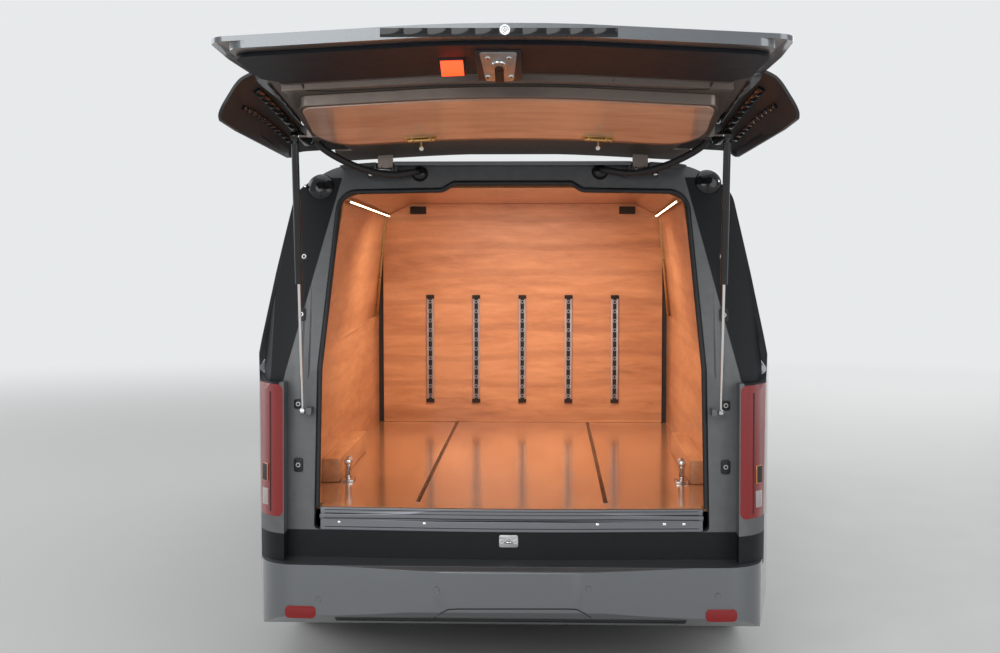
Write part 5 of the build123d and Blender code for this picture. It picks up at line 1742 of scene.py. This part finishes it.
def makeFrontBumper():
    # ribs of the lower intake, fog lamps, a blank plate in its frame and parking sensors
    mesh = bmesh.new()
    half = frontBumper["ribHalf"]
    for number in range(frontBumper["ribs"]):
        z = frontBumper["ribLow"] + frontBumper["ribPitch"] * number
        row = rowOn("front_bumper", (-half, farAhead, z), (half, farAhead, z), 12, (0, -1, 0))
        addStrip(mesh, row, 0.0008, 0.019, 0.005, 0.0015)
    x, z, radius = frontBumper["fog"]
    for side, _ in bothSides:
        point, normal = fromFront("front_bumper", side * x, z)
        place = standing(point - normal * 0.001, normal)
        addTurned(mesh, place, [
            (radius * 1.35, 0.0), (radius * 1.32, 0.005), (radius * 1.05, 0.004), (radius, 0.0015),
            (0, 0.0015), (0, 0), (radius * 1.35, 0.0)], 36, 1)
        addTurned(mesh, place @ at(0, 0, 0.0015), [
            (0, 0.007), (radius * 0.6, 0.005), (radius * 0.96, 0.0005), (radius * 0.96, 0), (0, 0)], 36, 2)
    place = standing(*fromFront("front_bumper", 0, frontBumper["plateZ"]), (-1, 0, 0))
    wide, tall = frontBumper["plate"]
    border = 2 * frontBumper["plateFrame"]
    addPanel(mesh, place, (wide + border, tall + border), 0.007, 0.006, 0.001, 1)
    addPanel(mesh, place @ at(0, 0, 0.007), (wide, tall), 0.0015, 0.006, 0.0004, 3)
    for x, z in frontBumper["sensors"]:
        addTurned(mesh, standing(*fromFront("front_bumper", x, z)), [
            (0, 0.0022), (0.0086, 0.002), (0.0095, 0.0006), (0.0115, 0), (0, 0)], 28, 4)
    newPiece("frontBumperDetails", mesh, "base", ["gloss", "trim", "clearLens", "blankPlate", "paint"])


wiper = {
    "arms": [(-0.46, 0.46), (0.10, 0.44)],              # the pivot's x, and how far it reaches
    "pivotY": 2.145,
    "middleY": 2.10,
    "bladeY": (2.115, 2.085),
}


def makeWipers():
    # a bent arm from each pivot over the blade that lies along the foot of the windscreen
    mesh = bmesh.new()
    down = (0, 0, -1)
    startY, tipY = wiper["bladeY"]
    for x, reach in wiper["arms"]:
        pivot, normal = hit("windscreen", (x, wiper["pivotY"], farAbove), down)
        tip, tipNormal = hit("windscreen", (x + reach, tipY, farAbove), down)
        middle, middleNormal = hit("windscreen", (x + reach * 0.55, wiper["middleY"], farAbove), down)
        start, startNormal = hit("windscreen", (pivot.lerp(tip, 0.10).x, startY, farAbove), down)
        addTurned(mesh, standing(pivot, normal), [
            (0, 0.020), (0.010, 0.019), (0.015, 0.012), (0.016, 0), (0, 0)], 24)
        addTube(mesh, [pivot + normal * 0.016, pivot.lerp(middle, 0.5) + normal * 0.024,
                       middle + middleNormal * 0.014], 0.0055, True, 10)
        addBar(mesh, start + startNormal * 0.008, tip + tipNormal * 0.008, 0.008, 0.012, middleNormal, 0.002)
    newPiece("wipers", mesh, "base", "gloss")


def makeFront():
    makeGrille()
    makeHeadlamps()
    makeFrontBumper()
    makeWipers()
    print("front fitted")


seat = {
    "xs": (-0.40, 0.40),
    "y": 0.721,
    "fill": 0.75,
    # name: place from the seat's own, lean in degrees, size, crown, channels, roundness
    "pads": {
        "Cushion": ((0, 0.245, 0.762), None, (0.50, 0.52, 0.125), 0.006, 5, 0.30),
        "Back": ((0, -0.055, 1.085), -77.5, (0.475, 0.62, 0.115), 0.008, 6, 0.32),
        "Headrest": ((0, -0.108, 1.505), -84, (0.25, 0.16, 0.085), 0.006, 0, 0.5),
    },
    "box": (0.44, 0.46, 0.150),
    "boxAt": (0, 0.240, 0.616),
    "posts": (-0.045, 0.045),           # of the headrest
    "postEnds": ((-0.098, 1.36), (-0.106, 1.47)),
}


def addPad(mesh, matrix, size, crown, channels, roundness):
    # a crowned cushion: a cube divided finely, its corners drawn in and its faces swelled, with a
    # row of sewn channels across the middle of its top and raised bolsters beside them
    made = bmesh.ops.create_cube(mesh, size=2)["verts"]
    edges = list({edge for vert in made for edge in vert.link_edges})
    bmesh.ops.subdivide_edges(mesh, edges=edges, cuts=11, use_grid_fill=True)
    for vert in mesh.verts:
        x, y, z = vert.co
        ball = Vector([c * math.sqrt(max(1 - (a * a + b * b) / 2 + a * a * b * b / 3, 0))
                       for c, a, b in ((x, y, z), (y, z, x), (z, x, y))])
        place = vert.co.lerp(ball, roundness) * Vector(size) / 2
        if abs(z) > 0.9:
            place.z += math.copysign(crown * (1 - x ** 2) * (1 - y ** 2), z)
        if channels and z > 0.9 and abs(x) < 0.72:
            wave = abs(math.sin(math.pi * channels * (y + 1) / 2))
            place.z -= 0.006 * (1 - min(wave * 3, 1))
        if z > 0.9 and 0.60 < abs(x) < 0.95:
            place.z += crown * 0.9
        vert.co = matrix @ place


def makeSeats():
    made = []
    for number, x in enumerate(seat["xs"]):
        home = at(x, seat["y"], 0)
        for part, (spot, lean, size, crown, channels, roundness) in seat["pads"].items():
            place = home @ at(*spot)
            if lean:
                place = place @ Matrix.Rotation(math.radians(lean), 4, "X") @ Matrix.Rotation(math.pi, 4, "Z")
            mesh = bmesh.new()
            addPad(mesh, place, size, crown, channels, roundness)
            piece = newPiece(f"seat{part}_{number}", mesh, "base", "seatCloth", 60)
            made.append(piece)
        mesh = bmesh.new()
        addBox(mesh, home @ at(*seat["boxAt"]), seat["box"], 0.010)
        for step in seat["posts"]:
            addRod(mesh, *(home @ Vector((step, y, z)) for y, z in seat["postEnds"]), 0.006, segments=14,
                   material=1)
        made.append(newPiece(f"seatFrame_{number}", mesh, "base", ["cabPlastic", "chrome"]))
    for piece in made:
        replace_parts(piece, "seats")


dash = {
    "from": 0.9,             # how far back the lines that look for its face start
    "vents": (-0.70, -0.12, 0.12, 0.70),
    "ventZ": 1.045,
    "vent": (0.11, 0.06),
    "blades": (-0.018, -0.006, 0.006, 0.018),
    "blade": (0.095, 0.003, 0.005),
    "screenZ": 0.96,
    "frame": (0.22, 0.07),
    "screen": (0.17, 0.052),
    "knobs": 0.098,
}


def makeDashDetails():
    # air vents, a blank screen with two knobs, and the steering wheel's boss
    mesh = bmesh.new()
    for x in dash["vents"]:
        place = standing(*hit("dashboard", (x, dash["from"], dash["ventZ"]), (0, 1, 0)))
        addPanel(mesh, place, dash["vent"], 0.006, 0.010, 0.001)
        for y in dash["blades"]:
            addBox(mesh, place @ at(0, y, 0.0075), dash["blade"], 0.0008, material=1)
    place = standing(*hit("dashboard", (0, dash["from"], dash["screenZ"]), (0, 1, 0)))
    addPanel(mesh, place, dash["frame"], 0.006, 0.008, 0.001)
    addPanel(mesh, place @ at(0, 0, 0.006), dash["screen"], 0.0015, 0.004, 0.0004, 2)
    for side, _ in bothSides:
        addTurned(mesh, place @ at(side * dash["knobs"], 0, 0.006), [
            (0, 0.012), (0.006, 0.012), (0.0075, 0.010), (0.008, 0), (0, 0)], 20)
    newPiece("dashVents", mesh, "base", ["trim", "gloss", "privacy"])

    column = joints["steering_wheel_turn"]
    axis = Vector(column["axis"])
    if axis.y > 0:
        axis = -axis
    boss = bmesh.new()
    addTurned(boss, standing(Vector(column["pos_m"]) + axis * 0.020, axis), [
        (0, 0.012), (0.030, 0.011), (0.052, 0.006), (0.060, -0.004), (0, -0.004)], 40)
    newPiece("wheelBoss", boss, "steering_wheel", "cabPlastic")


underside = {
    "pipe": [(0.22, 2.30, 0.36), (0.20, 1.70, 0.40), (0.26, 1.0, 0.40), (0.26, 0.0, 0.40),
             (0.30, -0.55, 0.38), (0.34, -0.78, 0.46), (0.34, -1.18, 0.46), (0.40, -1.45, 0.33),
             (0.42, -1.92, 0.30)],
    "pipeRadius": 0.026,
    "silencer": (0.26, 0.30, 0.385),
    "clamps": [(0.262, 0.9, 0.40), (0.262, -0.02, 0.40), (0.262, -0.35, 0.40)],
    "tank": (0.42, 0.85, 0.20),
    "tankAt": (-0.30, 0.35, 0.385),
    "strap": (0.428, 0.035, 0.206),
    "straps": [(-0.30, 0.10, 0.383), (-0.30, 0.60, 0.383)],
}


def makeUnderside():
    # the exhaust with its silencer and clamps, and the fuel tank with its straps
    mesh = bmesh.new()
    addTube(mesh, underside["pipe"], underside["pipeRadius"], True, 14)
    addTurned(mesh, standing(underside["silencer"], (0, -1, 0)), [
        (0, 0), (0.060, 0.0), (0.090, 0.02), (0.095, 0.05), (0.095, 0.52), (0.090, 0.55), (0.060, 0.57),
        (0, 0.57)], 40)
    for spot in underside["clamps"]:
        addTurned(mesh, standing(spot, (0, -1, 0)), [
            (0.026, 0), (0.040, 0.0), (0.040, 0.010), (0.026, 0.010)], 24)
    newPiece("exhaust", mesh, "base", "cast")
    tank = bmesh.new()
    addBox(tank, at(*underside["tankAt"]), underside["tank"], 0.045, 4)
    for spot in underside["straps"]:
        addBox(tank, at(*spot), underside["strap"], 0.046, 4, 1)
    newPiece("fuelTank", tank, "base", ["trim", "cast"])


def makeCab():
    makeSeats()
    makeDashDetails()
    makeUnderside()
    print("cab and underside fitted")


# the CAD panels with one finish all over whose edges are rounded
plainPanels = {"roof", "bonnet", "front_wings", "front_bumper", "body_sides", "sliding_doors", "door_left",
               "door_right", "rear_bumper", "rear_frame", "deck_sill", "opening_seal", "bulkhead_board",
               "tailgate_board", "dashboard", "steering_wheel"}


def roundPanels():
    for finish, members in cadFinish.items():
        for member in members:
            if member in plainPanels:
                softened(member, finish)
    softened("tailgate", "paint", inside="gatePanel",
             picks=lambda normal, place: normal.z < 0.1 and place.y > -2.97 and abs(place.x) < 0.76)
    softened("tailgate_glass", "blackGlass", 0.0008, inside="wingInside",
             picks=lambda normal, place: normal.z < 0.05)
    softened("tailgate_trim", "gateTrim", inside="gatePanel",
             picks=lambda normal, place: place.y > trimEdge - 0.02 and normal.y < -0.5)
    print("panel edges rounded")


roundPanels()
makeGaskets()
makeGate()
makeRear()
makeWheels()
makeSides()
makeFront()
makeCab()


backdrop = {
    "color": (0.80, 0.82, 0.83, 1),
    "light": (0.86, 0.88, 0.9, 1),          # of the sky round the object
    "strength": 0.55,
    "floor": (0.56, 0.56, 0.55),
    "floorHalf": 60,
    "near": 4.5,                # the floor fades into the backdrop between these distances
    "far": 13.0,
}


def mixShaders(tree, factor, first, second, output):
    # the first shader where the factor is 0, the second where it is 1
    mixed = tree.nodes.new("ShaderNodeMixShader")
    for number, source in enumerate((factor, first.outputs[0], second.outputs[0])):
        tree.links.new(source, mixed.inputs[number])
    tree.links.new(mixed.outputs[0], tree.nodes[output].inputs["Surface"])


def fadeFar(ground):
    # far from the object the floor takes the backdrop's colour, so no horizon shows
    tree = ground.tree
    away = ground.node("VectorMath", {"operation": "LENGTH"}, {0: ground.place}, out=1)
    seen = tree.nodes.new("ShaderNodeLightPath")
    direct = Value(ground, seen.outputs["Is Camera Ray"])
    mirrored = Value(ground, seen.outputs["Is Glossy Ray"])
    share = ground.step(away, backdrop["near"], backdrop["far"]) * direct.math("MAXIMUM", mirrored)
    paper = tree.nodes.new("ShaderNodeEmission")
    paper.inputs["Color"].default_value = backdrop["color"]
    mixShaders(tree, share.socket, ground.shader, paper, "Material Output")


def makeFloor():
    mesh = bmesh.new()
    bmesh.ops.create_grid(mesh, x_segments=1, y_segments=1, size=backdrop["floorHalf"])
    data = bpy.data.meshes.new("floor")
    mesh.to_mesh(data)
    mesh.free()
    floor = bpy.data.objects.new("floor", data)
    ground = Finish("paleFloor", backdrop["floor"], 0.6)
    ground.drive(Roughness=0.55 + ground.noise(3, 4) * 0.15)
    fadeFar(ground)
    data.materials.append(ground.material)
    bpy.context.scene.collection.objects.link(floor)


def makeSky():
    # lights the object softly, and shows the backdrop's colour to the camera and through glass
    world = bpy.data.worlds.new("studio")
    bpy.context.scene.world = world
    world.use_nodes = True
    tree = world.node_tree
    paper = tree.nodes["Background"]
    paper.inputs["Color"].default_value = backdrop["light"]
    paper.inputs["Strength"].default_value = backdrop["strength"]
    shown = tree.nodes.new("ShaderNodeBackground")
    shown.inputs["Color"].default_value = backdrop["color"]
    seen = tree.nodes.new("ShaderNodeLightPath")
    either = tree.nodes.new("ShaderNodeMath")
    either.operation = "MAXIMUM"
    tree.links.new(seen.outputs["Is Camera Ray"], either.inputs[0])
    tree.links.new(seen.outputs["Is Transmission Ray"], either.inputs[1])
    mixShaders(tree, either.outputs[0], paper, shown, "World Output")


white = (1, 1, 1)
lamps = {
    # name: place, aims at, size, watts, colour, whether it shows in reflections
    "behind": ((-2.5, -9.0, 4.6), (0, -2.0, 1.0), 6.5, 270, white, True),
    "behindRight": ((5.5, -7.5, 4.0), (0, -1.0, 1.0), 7.0, 175, white, True),
    "overhead": ((0, 0, 8.0), (0, 0, 0), 8.0, 120, white, True),
    "front": ((4.0, 9.0, 5.0), (0, 1.5, 0.8), 8.0, 300, white, True),
    "left": ((-8.5, 1.5, 4.6), (0, 0.5, 0.9), 8.0, 250, white, True),
    "loadSpace": ((0, -0.55, 1.72), (0, -0.35, 0.6), 1.0, 24, (1.0, 0.84, 0.70), False),    # the strips' glow
}


def makeLamps():
    for name, (place, aim, size, watts, color, mirrored) in lamps.items():
        data = bpy.data.lights.new(name, "AREA")
        data.shape = "DISK"
        data.size = size
        data.energy = watts
        data.color = color
        lamp = bpy.data.objects.new(name, data)
        lamp.location = place
        lamp.rotation_euler = (Vector(aim) - Vector(place)).to_track_quat("-Z", "Y").to_euler()
        lamp.visible_glossy = mirrored
        bpy.context.scene.collection.objects.link(lamp)


makeFloor()
makeSky()
makeLamps()
bpy.context.scene.view_settings.view_transform = "Standard"
